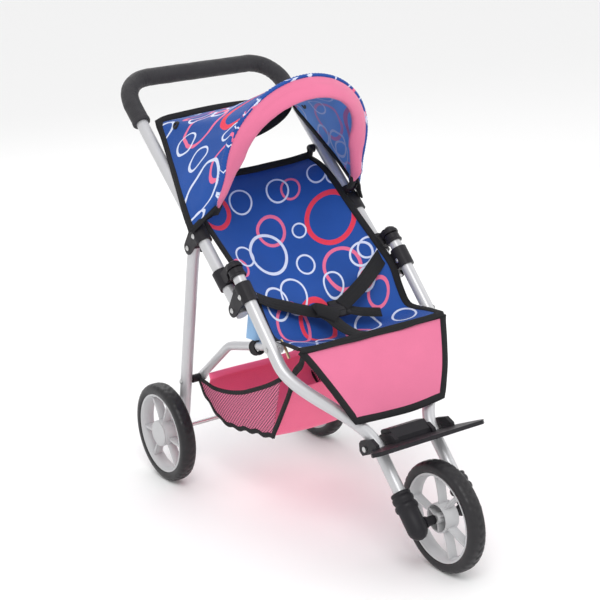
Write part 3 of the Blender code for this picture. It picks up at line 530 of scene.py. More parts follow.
def tube(points, radius):
    """A round bar of 24 sides along a line of points."""
    deselect()
    bpy.ops.curve.primitive_nurbs_path_add(location=(0.0, 0.0, 0.0))
    thing = bpy.context.object
    curve = thing.data
    curve.dimensions = "3D"
    curve.splines.clear()
    spline = curve.splines.new("POLY")
    spline.points.add(len(points) - 1)
    for knot, place in zip(spline.points, points):
        knot.co = (*place, 1.0)
        knot.radius = 1.0
    curve.bevel_depth = radius
    curve.bevel_resolution = 10
    curve.use_fill_caps = True
    bpy.ops.object.convert(target="MESH")
    thing = bpy.context.object
    smooth(thing)
    return thing


def spun(profile, origin, axis, steps=48, angle=30.0):
    """Spins a closed outline of (along the axis, radius) points."""
    deselect()
    bpy.ops.mesh.primitive_circle_add(vertices=len(profile), radius=1.0, location=(0.0, 0.0, 0.0))
    thing = bpy.context.object
    for vertex, (along, radius) in zip(thing.data.vertices, profile):
        vertex.co = (along, radius, 0.0)
    bpy.ops.object.mode_set(mode="EDIT")
    bpy.ops.mesh.select_all(action="SELECT")
    bpy.ops.mesh.spin(steps=steps, angle=2.0 * math.pi, center=(0.0, 0.0, 0.0), axis=(1.0, 0.0, 0.0))
    bpy.ops.mesh.select_all(action="SELECT")
    bpy.ops.mesh.remove_doubles(threshold=0.00001)
    bpy.ops.mesh.delete_loose()
    bpy.ops.mesh.select_all(action="SELECT")
    bpy.ops.mesh.normals_make_consistent(inside=False)
    bpy.ops.object.mode_set(mode="OBJECT")
    turn = X_AXIS.rotation_difference(Vector(axis)).to_matrix().to_4x4()
    thing.data.transform(Matrix.Translation(origin) @ turn)
    smooth(thing, angle)
    return thing


def slab(outline, low, high, bevel=0.0, segments=2):
    """Extrudes an outline of (y, z) points along X and rounds its edges."""
    deselect()
    bpy.ops.mesh.primitive_circle_add(vertices=len(outline), radius=1.0, fill_type="NGON",
                                      location=(0.0, 0.0, 0.0))
    thing = bpy.context.object
    for vertex, (y, z) in zip(thing.data.vertices, outline):
        vertex.co = (low, y, z)
    bpy.ops.object.mode_set(mode="EDIT")
    bpy.ops.mesh.select_all(action="SELECT")
    bpy.ops.mesh.extrude_region_move(TRANSFORM_OT_translate={"value": (high - low, 0.0, 0.0)})
    bpy.ops.mesh.select_all(action="SELECT")
    bpy.ops.mesh.normals_make_consistent(inside=False)
    bpy.ops.object.mode_set(mode="OBJECT")
    if bevel:
        modify(thing, "BEVEL", width=bevel, segments=segments, limit_method="ANGLE",
               angle_limit=math.radians(30.0))
    smooth(thing)
    return thing


def shared_cloth_map(thing, places):
    """Gives the cloth its own flat map, in metres; places holds one (u, v) for each vertex."""
    layer = thing.data.uv_layers.get("cloth") or thing.data.uv_layers.new(name="cloth")
    for loop in thing.data.loops:
        layer.data[loop.index].uv = places[loop.vertex_index]


def cloth(shape, across, down, layout, thickness=None, inner=False):
    """A sheet shaped point by point.

    shape(u, v) places the cloth and layout(u, v) says where it was when flat.
    """
    sizes = bpy.context.scene.stroller_sizes
    deselect()
    bpy.ops.mesh.primitive_grid_add(x_subdivisions=across, y_subdivisions=down, size=1.0,
                                    location=(0.0, 0.0, 0.0))
    thing = bpy.context.object
    while thing.data.uv_layers:
        thing.data.uv_layers.remove(thing.data.uv_layers[0])
    flat = []
    for vertex in thing.data.vertices:
        u, v = vertex.co.x + 0.5, vertex.co.y + 0.5
        vertex.co = shape(u, v)
        flat.append(layout(u, v))
    shared_cloth_map(thing, flat)
    settings = {"thickness": thickness or sizes.cloth, "offset": 0.0, "use_even_offset": True}
    if inner:
        settings["material_offset"] = 1
    modify(thing, "SOLIDIFY", **settings)
    modify(thing, "SUBSURF", levels=1, render_levels=1)
    pick(thing)
    bpy.ops.object.shade_smooth()
    return thing


def made_object(mesh, name):
    """Turns a bmesh into an object with its faces outwards."""
    bmesh.ops.recalc_face_normals(mesh, faces=mesh.faces)
    data = bpy.data.meshes.new(name)
    mesh.to_mesh(data)
    mesh.free()
    thing = bpy.data.objects.new(name, data)
    bpy.context.scene.collection.objects.link(thing)
    smooth(thing, 50.0)
    return thing


def section_at(points, normals, i):
    """The two directions that a section at point i is drawn in."""
    tangent = (points[min(i + 1, len(points) - 1)] - points[max(i - 1, 0)]).normalized()
    across = tangent.cross(normals[i]).normalized()
    return across, across.cross(tangent).normalized()


def ribbon(points, normals, width, thickness):
    """A flat tape along a line; normals say which way its face looks."""
    mesh = bmesh.new()
    layer = mesh.loops.layers.uv.new("cloth")
    half = width / 2.0
    edge = min(thickness * 0.5, half * 0.4)
    corners = ((-half, 0.0), (-half + edge, -1.0), (half - edge, -1.0), (half, 0.0), (half - edge, 1.0),
               (-half + edge, 1.0))
    rings = []
    for i, place in enumerate(points):
        across, up = section_at(points, normals, i)
        rings.append([mesh.verts.new(place + across * a + up * (b * thickness / 2.0)) for a, b in corners])
    lengths = distances(points)
    for i in range(len(points) - 1):
        first, second = rings[i], rings[i + 1]
        start, end = lengths[i], lengths[i + 1]
        for k in range(6):
            m = (k + 1) % 6
            face = mesh.faces.new((first[k], first[m], second[m], second[k]))
            low, high = corners[k][0], corners[m][0]
            for loop, uv in zip(face.loops, ((low, start), (high, start), (high, end), (low, end))):
                loop[layer].uv = uv
    mesh.faces.new(rings[0])
    mesh.faces.new(list(reversed(rings[-1])))
    return made_object(mesh, "ribbon")


def swept(points, normals, sizes, sides):
    """A bar of changing oval section: sizes holds (along the normal, across it) half sizes."""
    mesh = bmesh.new()
    rings = []
    for i, place in enumerate(points):
        across, up = section_at(points, normals, i)
        ring = []
        for k in range(sides):
            angle = 2.0 * math.pi * k / sides
            ring.append(mesh.verts.new(place + up * (sizes[i][0] * math.cos(angle))
                                       + across * (sizes[i][1] * math.sin(angle))))
        rings.append(ring)
    for first, second in zip(rings, rings[1:]):
        for k in range(sides):
            m = (k + 1) % sides
            mesh.faces.new((first[k], first[m], second[m], second[k]))
    mesh.faces.new(rings[0])
    mesh.faces.new(list(reversed(rings[-1])))
    return made_object(mesh, "swept")


def distances(points):
    """How far along the line each point lies."""
    travelled = [0.0]
    for a, b in zip(points, points[1:]):
        travelled.append(travelled[-1] + (b - a).length)
    return travelled


def length_of(points):
    return sum((b - a).length for a, b in zip(points, points[1:]))


def part_way(points, share):
    """The place at a share from 0 to 1 of the way through evenly counted points."""
    place = share * (len(points) - 1)
    i = min(int(place), len(points) - 2)
    return points[i].lerp(points[i + 1], place - i)


def resample(points, step):
    """Even steps along a smooth curve through the points."""
    fine = []
    count = len(points)
    for i in range(count - 1):
        a, b, c, d = (points[max(i - 1, 0)], points[i], points[i + 1], points[min(i + 2, count - 1)])
        for k in range(16):
            t = k / 16.0
            fine.append(0.5 * ((2.0 * b) + (c - a) * t + (2.0 * a - 5.0 * b + 4.0 * c - d) * t * t
                               + (3.0 * b - a - 3.0 * c + d) * t ** 3))
    fine.append(points[-1].copy())
    total = length_of(fine)
    pieces = max(2, round(total / step))
    out, gone, target = [fine[0].copy()], 0.0, total / pieces
    for p, q in zip(fine, fine[1:]):
        length = (q - p).length
        while length > 0.0 and gone + length >= target * len(out) - 1e-9 and len(out) < pieces:
            out.append(p.lerp(q, (target * len(out) - gone) / length))
        gone += length
    out.append(fine[-1].copy())
    return out


def mirrored(points):
    return [Vector((-p.x, p.y, p.z)) for p in points]


# Tubes


RAIL_START, RAIL_LENGTH = 0.0125, 0.3575


def splay(along):
    low, high = 0.105, 0.240
    t = min(max((along - low) / (high - low), 0.0), 1.0)
    return FORK_HALF + (HALF_WIDTH - FORK_HALF) * t * t * (3.0 - 2.0 * t)


def leg_x(along):
    start, end_half = 0.018, 0.0985
    t = max(0.0, (along - start) / (LEG_LENGTH - start))
    return HALF_WIDTH + (end_half - HALF_WIDTH) * t


def handle_line(step=0.004, start=-0.009):
    """Centre line of the handle from the right-hand end, round the crossbar, to the left-hand end."""
    bend = HANDLE_BEND
    straight = HANDLE_LENGTH - bend
    line = []
    count = max(1, round((straight - start) / step))
    for k in range(count):
        line.append(grip(-HALF_WIDTH, start + (straight - start) * k / count))
    for k in range(13):
        angle = math.pi / 2.0 * k / 12.0
        line.append(grip(-HALF_WIDTH + bend * (1.0 - math.cos(angle)), straight + bend * math.sin(angle)))
    middle = max(1, round((HALF_WIDTH - bend) / step))
    left = mirrored(reversed(line))
    for k in range(1, 2 * middle):
        line.append(line[12 + count].lerp(left[0], k / (2.0 * middle)))
    return line + left


class STROLLER_OT_tubes(bpy.types.Operator):
    """Front tubes, handle tube, rear legs and bent links"""
    bl_idname = "stroller.tubes"
    bl_label = "Frame Tubes"

    def execute(self, context):
        radius = context.scene.stroller_sizes.tube_radius
        for side, sign in SIDES:
            heights = [RAIL_START + RAIL_LENGTH * k / 60.0 for k in range(61)]
            line = [rail(sign * splay(along), along) for along in heights]
            settle(tube(line, radius), "front_rail_" + side, "paint", "frame", ["front_tube_" + side])
            line = [LEG_PIVOT + LEG_DOWN * along + X_AXIS * (sign * leg_x(along))
                    for along in (-0.009, 0.010, 0.016, 0.021, 0.028, 0.12, 0.24, LEG_LENGTH + 0.012)]
            settle(tube(line, radius), "back_leg_" + side, "paint", "rear_legs", ["rear_leg_" + side])
            self.link(side, sign)
        settle(tube(handle_line(0.02), radius), "push_handle", "paint", "handle", ["handle_tube"])
        return {"FINISHED"}

    def link(self, side, sign):
        """Pressed flat at both ends, with one bend."""
        bend, first = LINK_BEND, LINK_FIRST
        down = (SPACER_PIVOT - bend).normalized()
        stations = (
            (LINK_PIVOT - first * 0.0065, 0.1092, 0.0019, 0.0045),
            (LINK_PIVOT - first * 0.0030, 0.1092, 0.0019, 0.0072),
            (LINK_PIVOT + first * 0.0100, 0.1092, 0.0019, 0.0078),
            (LINK_PIVOT + first * 0.0170, 0.1075, 0.0036, 0.0070),
            (LINK_PIVOT + first * 0.0260, 0.1040, 0.0057, 0.0057),
            (bend - first * 0.0300, 0.0920, 0.0057, 0.0057),
            (bend - first * 0.0180, 0.0905, 0.0057, 0.0057),
            (bend - first * 0.0110 + down * 0.0003, 0.0899, 0.0057, 0.0057),
            (bend - first * 0.0045 + down * 0.0018, 0.0894, 0.0057, 0.0057),
            (bend + down * 0.0045 - first * 0.0018, 0.0890, 0.0057, 0.0057),
            (bend + down * 0.0110 - first * 0.0003, 0.0886, 0.0057, 0.0057),
            (bend + down * 0.0180, 0.0880, 0.0057, 0.0057),
            (SPACER_PIVOT - down * 0.0260, 0.0840, 0.0057, 0.0057),
            (SPACER_PIVOT - down * 0.0180, 0.0825, 0.0036, 0.0070),
            (SPACER_PIVOT - down * 0.0110, 0.0814, 0.0019, 0.0078),
            (SPACER_PIVOT + down * 0.0030, 0.0814, 0.0019, 0.0072),
            (SPACER_PIVOT + down * 0.0065, 0.0814, 0.0019, 0.0045),
        )
        points = [place + X_AXIS * (sign * x) for place, x, _, _ in stations]
        sizes = [(a, b) for _, _, a, b in stations]
        link = swept(points, [X_AXIS] * len(points), sizes, 24)
        settle(link, "bent_link_" + side, "paint", "link_" + side, ["link_tube_" + side])


CREASE_DEPTH = 0.0021


class STROLLER_OT_grip(bpy.types.Operator):
    """Foam sleeve on the handle, creased where it bends"""
    bl_idname = "stroller.grip"
    bl_label = "Foam Grip"

    def execute(self, context):
        radius = context.scene.stroller_sizes.grip_radius
        line = handle_line(0.0016, GRIP_START)
        line = resample(line[::3] + [line[-1]], 0.0016)
        sides = 40
        grip_piece = swept(line, [HANDLE_BACK] * len(line), [(radius, radius)] * len(line), sides)
        vertices = grip_piece.data.vertices
        total = len(line)
        bar = HALF_WIDTH - HANDLE_BEND
        for i, centre in enumerate(line):
            beside = abs(centre.x)
            bend = max(0.0, 1.0 - abs(beside - bar - 0.020) / 0.024) if beside < HALF_WIDTH - 0.0005 else 0.0
            end = min(i, total - 1 - i)
            lip = 0.0006 if end < 4 else 0.0
            for k in range(sides):
                vertex = vertices[i * sides + k]
                out = (vertex.co - centre).normalized()
                inwards = max(0.0, -out.x * math.copysign(1.0, centre.x))
                inner = inwards * 0.6 + max(0.0, -out.dot(HANDLE_UP)) * 0.4 + 0.25
                wander = 2.2 * noise.noise(vertex.co * 90.0)
                ridge = math.sin(i * 1.35 + wander) * (0.5 + noise.noise(vertex.co * 60.0))
                crease = -CREASE_DEPTH * bend * min(1.0, inner) * max(0.0, ridge)
                soft = 0.00035 * noise.noise(vertex.co * 70.0)
                vertex.co = centre + out * (radius + lip + crease + soft - (0.0008 if end == 0 else 0.0))
        settle(grip_piece, "foam_sleeve", "foam", "handle", ["foam_grip"])
        smooth(grip_piece, 60.0)
        return {"FINISHED"}


# Wheels


def wheel_piece(centre, outward, turn=90.0):
    """The grey moulding: channel rim, double spokes and a hub ribbed on its inner side."""
    rim = spun(((-0.0099, 0.0562), (0.0099, 0.0562), (0.0099, 0.0538), (0.0090, 0.0530), (0.0030, 0.0506),
                (0.0000, 0.0502), (-0.0030, 0.0506), (-0.0090, 0.0530), (-0.0099, 0.0538)),
               centre, X_AXIS * outward, 96, 40.0)
    barrel = spun(((-0.0115, 0.0035), (-0.0115, 0.0058), (-0.0108, 0.0062), (0.0060, 0.0062),
                   (0.0060, 0.0170), (-0.0100, 0.0170), (-0.0104, 0.0173), (-0.0104, 0.0183),
                   (-0.0100, 0.0186), (0.0095, 0.0185), (0.0103, 0.0178), (0.0105, 0.0165),
                   (0.0105, 0.0035)), centre, X_AXIS * outward, 64, 35.0)
    pieces = [rim, barrel]
    for k in range(3):
        angle = math.radians(120.0 * k + 25.0)
        x_low, x_high = -0.0096 * outward, 0.0060 * outward
        pieces.append(blade(centre, angle, 0.0058, 0.0174, 0.0009, 0.0007, x_low, x_high))
    for k in range(3):
        for lean in (-1, 1):
            pieces.append(spoke(centre, math.radians(turn + 120.0 * k), lean))
    return join(pieces)


def blade(centre, angle, inner, outer, half_in, half_out, x_low, x_high):
    reach = Vector((0.0, math.cos(angle), math.sin(angle)))
    wide = X_AXIS.cross(reach)
    outline = []
    for r, w in ((inner, half_in), (outer, half_out), (outer, -half_out), (inner, -half_in)):
        place = centre + reach * r + wide * w
        outline.append((place.y, place.z))
    return slab(outline, centre.x + min(x_low, x_high), centre.x + max(x_low, x_high), 0.0003, 1)


SPOKE_START, SPOKE_END = 0.0175, 0.0515


def spoke(centre, middle, lean):
    """One of a pair that leave the hub together and part towards the rim."""
    sides = ([], [])
    for k in range(9):
        t = k / 8.0
        r = SPOKE_START + (SPOKE_END - SPOKE_START) * t
        angle = middle + lean * math.radians(17.0 + 7.0 * t)
        half = 0.0012 + 0.0010 * t * t
        reach = Vector((0.0, math.cos(angle), math.sin(angle)))
        wide = X_AXIS.cross(reach)
        for which, sign in ((0, 1.0), (1, -1.0)):
            place = centre + reach * r + wide * (half * sign)
            sides[which].append((place.y, place.z))
    outline = sides[0] + list(reversed(sides[1]))
    return slab(outline, centre.x - 0.0062, centre.x + 0.0062, 0.0005, 2)


TREAD_START = 0.0675
GROOVE_DEPTH = 0.0013
TREAD_WAVES = 20.0


def tyre_piece(centre):
    """The tyre with shallow waves pressed into its tread."""
    radius = bpy.context.scene.stroller_sizes.tyre_radius
    half_profile = [(0.0099, 0.0565), (0.0108, 0.0580), (0.0113, 0.0605), (0.0112, 0.0635), (0.0103, 0.0662),
                    (0.0086, 0.0684), (0.0064, 0.0694), (0.0042, 0.0699), (0.0021, radius), (0.0, radius)]
    profile = half_profile + [(-x, r) for x, r in reversed(half_profile[:-1])]
    thing = spun(profile, centre, X_AXIS, 200, 60.0)
    for vertex in thing.data.vertices:
        local = vertex.co - centre
        r = math.hypot(local.y, local.z)
        if r < TREAD_START:
            continue
        angle = math.atan2(local.z, local.y)
        wave = math.sin(angle * TREAD_WAVES + (1.6 if local.x > 0.0 else -1.6) * math.sin(local.x / 0.0040))
        groove = max(0.0, 0.42 - abs(wave)) / 0.42
        scale = (r - GROOVE_DEPTH * groove) / r
        vertex.co = centre + Vector((local.x, local.y * scale, local.z * scale))
    return thing


class STROLLER_OT_wheels(bpy.types.Operator):
    """Grey wheel mouldings, tyres and hub caps"""
    bl_idname = "stroller.wheels"
    bl_label = "Wheels"

    def execute(self, context):
        front = wheel_piece(FRONT_AXLE, 1.0, 107.0)
        settle(front, "wheel_front", "moulding", "front_wheel_set", ["front_wheel"])
        settle(tyre_piece(FRONT_AXLE), "tyre_front", "tyre", "front_wheel_set", ["front_tyre"])
        for side, sign in SIDES:
            centre = REAR_AXLE + X_AXIS * (sign * WHEEL_HALF_TRACK)
            body = "rear_wheel_set_" + side
            settle(wheel_piece(centre, sign), "wheel_rear_" + side, "moulding", body, ["rear_wheel_" + side])
            settle(tyre_piece(centre), "tyre_rear_" + side, "tyre", body, ["rear_tyre_" + side])
            cap = spun(((0.0106, 0.0), (0.0106, 0.0180), (0.0118, 0.0184), (0.0132, 0.0172),
                        (0.0146, 0.0140), (0.0156, 0.0090), (0.0161, 0.0040),
                        (0.0162, 0.0)), centre, X_AXIS * sign, 64, 40.0)
            settle(cap, "cap_rear_" + side, "moulding", body, ["hub_cap_" + side])
        return {"FINISHED"}


class STROLLER_OT_fork(bpy.types.Operator):
    """Fork boots with the stubs that hold the front axle"""
    bl_idname = "stroller.fork"
    bl_label = "Fork Boots"

    def execute(self, context):
        profile = ((0.0440, 0.0083), (0.0440, 0.0112), (0.0434, 0.0122), (0.0418, 0.0126),
                   (0.0402, 0.0124), (0.0394, 0.0120), (0.0385, 0.0124), (0.0372, 0.0132),
                   (0.0350, 0.0137), (0.0328, 0.0134), (0.0312, 0.0127), (0.0302, 0.0125),
                   (0.0292, 0.0129), (0.0276, 0.0140), (0.0254, 0.0147), (0.0232, 0.0146),
                   (0.0212, 0.0138), (0.0204, 0.0128), (0.0200, 0.0126), (0.0080, 0.0127),
                   (-0.0060, 0.0126), (-0.0100, 0.0116), (-0.0140, 0.0092), (-0.0170, 0.0055),
                   (-0.0185, 0.0), (0.0122, 0.0), (0.0122, 0.0083))
        for side, sign in SIDES:
            boot = spun(profile, rail(sign * FORK_HALF, 0.0), RAIL_UP, 64, 50.0)
            stub = spun(((0.0, 0.0), (0.0, 0.0062), (0.0125, 0.0062), (0.0130, 0.0072), (0.0160, 0.0072),
                         (0.0165, 0.0060), (0.0275, 0.0058), (0.0280, 0.0054), (0.0280, 0.0)),
                        FRONT_AXLE + X_AXIS * (sign * FORK_HALF), X_AXIS * -sign, 40, 35.0)
            settle(join([boot, stub]), "boot_" + side, "plastic", "frame", ["fork_boot_" + side])
        return {"FINISHED"}


# Cloth on the frame


# (half width, y, z) of the sling's edge from the top, and how far (y, z) its middle hangs off it
EDGE_LINE = ((0.1110, 0.4200, 0.4310), (0.1110, 0.3980, 0.4260), (0.1105, 0.3710, 0.4140),
             (0.1095, 0.3220, 0.3790), (0.1085, 0.2610, 0.3370), (0.1075, 0.2310, 0.3160),
             (0.1065, 0.2150, 0.2910), (0.1060, 0.2000, 0.2720), (0.1065, 0.1840, 0.2690),
             (0.1080, 0.1580, 0.2710), (0.1085, 0.1320, 0.2720))
SAG_LINE = ((0.0, -0.006), (0.004, -0.012), (0.010, -0.016), (0.016, -0.018), (0.019, -0.018),
            (0.019, -0.018), (0.018, -0.017), (0.014, -0.021), (0.006, -0.020), (0.0, -0.013),
            (0.0, -0.004))


def seat_edge():
    line = [axle_frame(*place) for place in EDGE_LINE]
    return resample(line, 0.006)


def seat_sags(count):
    knots = [Vector((0.0, y, z)) for y, z in SAG_LINE]
    return [part_way(knots, k / (count - 1)) for k in range(count)]


class STROLLER_OT_seat(bpy.types.Operator):
    """Printed sling seat and its pink apron, both bound with black tape"""
    bl_idname = "stroller.seat"
    bl_label = "Seat"

    def execute(self, context):
        sizes = context.scene.stroller_sizes
        edge = seat_edge()
        count = len(edge)
        sags = seat_sags(count)
        travelled = distances(edge)

        def shape(u, v):
            i = min(round(v * (count - 1)), count - 1)
            across = 2.0 * u - 1.0
            hollow = 1.0 - abs(across) ** 2.2
            place = Vector((across * edge[i].x, edge[i].y, edge[i].z)) + sags[i] * hollow
            ripple = 0.0012 * noise.noise(Vector((u * 5.0, v * 9.0, 3.0))) * (1.0 - across * across)
            return place + Vector((0.0, ripple, ripple))

        def layout(u, v):
            i = min(round(v * (count - 1)), count - 1)
            return (u * PRINT_WIDTH, travelled[i])

        sling = cloth(shape, 28, count - 1, layout)
        sling.name = "sling_seat"
        dress(sling, "print")
        self.bind_sling(sling, edge, shape, sizes)
        self.apron(sizes)
        return {"FINISHED"}

    def bind_sling(self, sling, edge, shape, sizes):
        """Black tape round the sling, and the loops that hold its top corners to the knobs."""
        width = sizes.binding
        tapes = []
        for sign in (-1.0, 1.0):
            line = [Vector((sign * (p.x - 0.0010), p.y, p.z)) for p in edge]
            normals = []
            for i in range(len(edge)):
                tangent = (edge[min(i + 1, len(edge) - 1)] - edge[max(i - 1, 0)]).normalized()
                normals.append(X_AXIS.cross(tangent) * sign + X_AXIS * 0.25)
            normals = [n if n.z > 0.0 else -n for n in normals]
            tapes.append(ribbon(line, normals, width, TAPE_THICK))
        top = [shape(k / 24.0, 0.0) + Vector((0.0, 0.0010, 0.0030)) for k in range(25)]
        tapes.append(ribbon(top, [Vector((0.0, -0.80, 0.60))] * 25, width * 1.15, TAPE_THICK))
        for sign in (-1.0, 1.0):
            corner = Vector((sign * 0.1085, edge[0].y - 0.001, edge[0].z))
            knob = grip(sign * 0.1080, 0.2220, 0.0060)
            loop = resample([corner + Vector((0.0, 0.002, -0.004)), corner.lerp(knob, 0.5), knob], 0.003)
            tapes.append(ribbon(loop, [Vector((0.0, -0.90, 0.40))] * len(loop), 0.0110, TAPE_THICK))
        front = [shape(k / 24.0, 1.0) + Vector((0.0, -0.001, 0.0)) for k in range(25)]
        tapes.append(ribbon(front, [Vector((0.0, -0.35, 0.94))] * 25, width, 0.0032))
        tape = join(tapes)
        tape.name = "sling_binding"
        dress(tape, "tape")
        for thing, finish, replaced in ((sling, "print", ["seat_fabric", "backrest_fabric"]),
                                        (tape, "tape", [])):
            if replaced:
                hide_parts(*replaced)
            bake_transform(thing)

    def apron(self, sizes):
        def shape(u, v):
            half = 0.1075 - 0.0435 * v ** 0.85
            across = 2.0 * u - 1.0
            half += 0.0100 * max(0.0, across) * math.sin(math.pi * (0.12 + 0.72 * v))
            crown = 1.0 - across * across
            belly = 0.0040 * crown * math.sin(math.pi * v)
            y = 0.1320 - 0.0490 * v - belly + 0.0015 * math.sin(7.0 * u) * v
            z = 0.2700 - 0.0860 * v - 0.0030 * crown * v
            swell = 0.0010 * noise.noise(Vector((u * 4.0, v * 4.0, 9.0)))
            return axle_frame(across * half, y + swell, z)

        def layout(u, v):
            half = 0.1075 - 0.0435 * v ** 0.85
            return ((2.0 * u - 1.0) * half, v * 0.099)

        panel = cloth(shape, 24, 12, layout)
        settle(panel, "apron", "pink", "frame", ["front_apron"])
        face = Vector((0.0, -0.87, 0.49))
        outline = [shape(0.0, k / 14.0) for k in range(15)]
        outline += [shape(k / 16.0, 1.0) for k in range(1, 17)]
        outline += [shape(1.0, 1.0 - k / 14.0) for k in range(1, 15)]
        tape = ribbon(outline, [face] * len(outline), sizes.binding, TAPE_THICK)
        settle(tape, "apron_binding", "tape", "frame")
        top_line = [shape(k / 20.0, 0.0) + Vector((0.0, -0.0015, 0.0)) for k in range(21)]
        seam = ribbon(top_line, [face] * 21, 0.0080, TAPE_THICK)
        settle(seam, "apron_top_tape", "tape", "frame")


class STROLLER_OT_basket(bpy.types.Operator):
    """Shopping basket of pink cloth with net sides"""
    bl_idname = "stroller.basket"
    bl_label = "Basket"

    BOTTOM = ((0.4290, 0.1480), (0.4150, 0.1300), (0.4000, 0.1190), (0.3800, 0.1070), (0.3600, 0.1030),
              (0.3375, 0.1040), (0.3100, 0.1090), (0.2830, 0.1140), (0.2600, 0.1170), (0.2420, 0.1195))
    FRONT = ((0.2380, 0.1270), (0.2260, 0.1450), (0.2140, 0.1640), (0.2020, 0.1830), (0.1930, 0.1990))
    TOP = ((0.2150, 0.2060), (0.2440, 0.1900), (0.2790, 0.1740), (0.3130, 0.1600), (0.3500, 0.1500),
           (0.3870, 0.1450), (0.4100, 0.1470), (0.4290, 0.1480))

    def execute(self, context):
        half = 0.0845
        profile = [axle_frame(0.0, y, z) for y, z in ((0.3980, 0.1590), (0.4010, 0.1500), (0.4040, 0.1380))
                   + self.BOTTOM[2:] + self.FRONT]
        profile = resample(profile, 0.008)
        count = len(profile)
        travelled = distances(profile)

        def shape(u, v):
            i = min(round(v * (count - 1)), count - 1)
            across = 2.0 * u - 1.0
            sag = -0.0050 * (1.0 - across * across) * math.sin(math.pi * v)
            return profile[i] + Vector((across * half, 0.0008 * math.sin(9.0 * u + 3.0 * v), sag))

        panel = cloth(shape, 20, count - 1, lambda u, v: ((2.0 * u - 1.0) * half, travelled[
            min(round(v * (count - 1)), count - 1)]))
        panel.name = "basket_cloth"
        pieces = []
        for side, sign in SIDES:
            pieces.append(self.net(side, sign * (half + 0.0006)))
        tapes = join([tape for _, tape in pieces])
        nets = [net for net, _ in pieces]
        settle(panel, "basket_cloth", "lining", "frame", ["storage_basket"])
        settle(tapes, "basket_binding", "tape", "frame")
        hem_line = [shape(k / 20.0, 0.0) for k in range(21)]
        hem = swept(hem_line, [Vector((0.0, -0.95, 0.30))] * 21, [(0.0022, 0.0050)] * 21, 12)
        settle(hem, "basket_hem", "lining", "frame")
        self.trimmings()
        for thing in (panel, tapes, hem, *nets):
            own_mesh(thing)
        return {"FINISHED"}

    def trimmings(self):
        """Webbing keepers round the links, pale strips beside the basket and the seat's zip pull."""
        first = LINK_FIRST
        for side, sign in SIDES:
            centre = LINK_PIVOT + first * 0.0770 + X_AXIS * (sign * 0.0965) + Vector((0.0, 0.0, -0.0012))
            keeper = spun(((-0.0090, 0.0062), (-0.0095, 0.0084), (-0.0040, 0.0092), (0.0010, 0.0080),
                           (0.0060, 0.0093), (0.0090, 0.0082), (0.0085, 0.0062)), centre,
                          (first - X_AXIS * (sign * 0.15)).normalized(), 24)
            for vertex in keeper.data.vertices:
                low = max(0.0, centre.z - vertex.co.z)
                vertex.co.z -= 0.25 * low + 0.0006 * noise.noise(vertex.co * 260.0)
            settle(keeper, "link_keeper_" + side, "tape", "link_" + side)
            strip = [Vector((sign * 0.1010, centre.y - 0.0110 + 0.0011 * k, centre.z + 0.0580 - 0.0044 * k))
                     for k in range(12)]
            lining = ribbon(strip, [X_AXIS * sign + Vector((0.0, -0.6, 0.0))] * len(strip), 0.0210, 0.0012)
            settle(lining, "side_lining_" + side, "pale", "frame")
            length_of(strip)
        line = resample([axle_frame(-0.1040, 0.1800, 0.2720), axle_frame(-0.1030, 0.1720, 0.2620),
                         axle_frame(-0.1020, 0.1660, 0.2510)], 0.003)
        pull = swept(line, [X_AXIS] * len(line), [(0.0014, 0.0026)] * len(line), 10)
        settle(pull, "zip_pull", "brass", "frame")

    def net(self, side, x):
        """The net panel between the top and bottom tapes, and the tape all round it."""
        lower = resample([axle_frame(x, y, z) for y, z in self.BOTTOM], 0.004)
        upper = resample([axle_frame(x, y, z) for y, z in reversed(self.TOP)], 0.004)

        def shape(u, v):
            place = part_way(lower, u).lerp(part_way(upper, u), v)
            outward = math.copysign(0.0025, x) * math.sin(math.pi * v) * math.sin(math.pi * u)
            return place + Vector((outward, 0.0, 0.0))

        def layout(u, v):
            place = shape(u, v)
            return (place.y, place.z)

        net = cloth(shape, 44, 8, layout, 0.0008)
        settle(net, "basket_net_" + side, "net", "frame")
        face = Vector((math.copysign(1.0, x), 0.0, 0.0))
        wave = [p + Vector((0.0, 0.0, 0.0015 * math.sin(i * 0.8))) for i, p in enumerate(lower)]
        front = resample([axle_frame(x, y, z) for y, z in self.BOTTOM[-1:] + self.FRONT], 0.006)
        corner = self.FRONT[-1]
        tie = resample([axle_frame(x, *corner), axle_frame(x * 1.02, 0.1800, 0.2240),
                        axle_frame(x * 1.08, 0.1560, 0.2430), axle_frame(x * 1.16, 0.1400, 0.2620)], 0.006)
        tapes = [ribbon(wave, [face] * len(wave), 0.0075, TAPE_THICK),
                 ribbon(upper, [face] * len(upper), 0.0065, TAPE_THICK),
                 ribbon(front, [face] * len(front), 0.0085, 0.0034),
                 ribbon(tie, [face] * len(tie), 0.0100, TAPE_THICK)]
        return net, join(tapes)


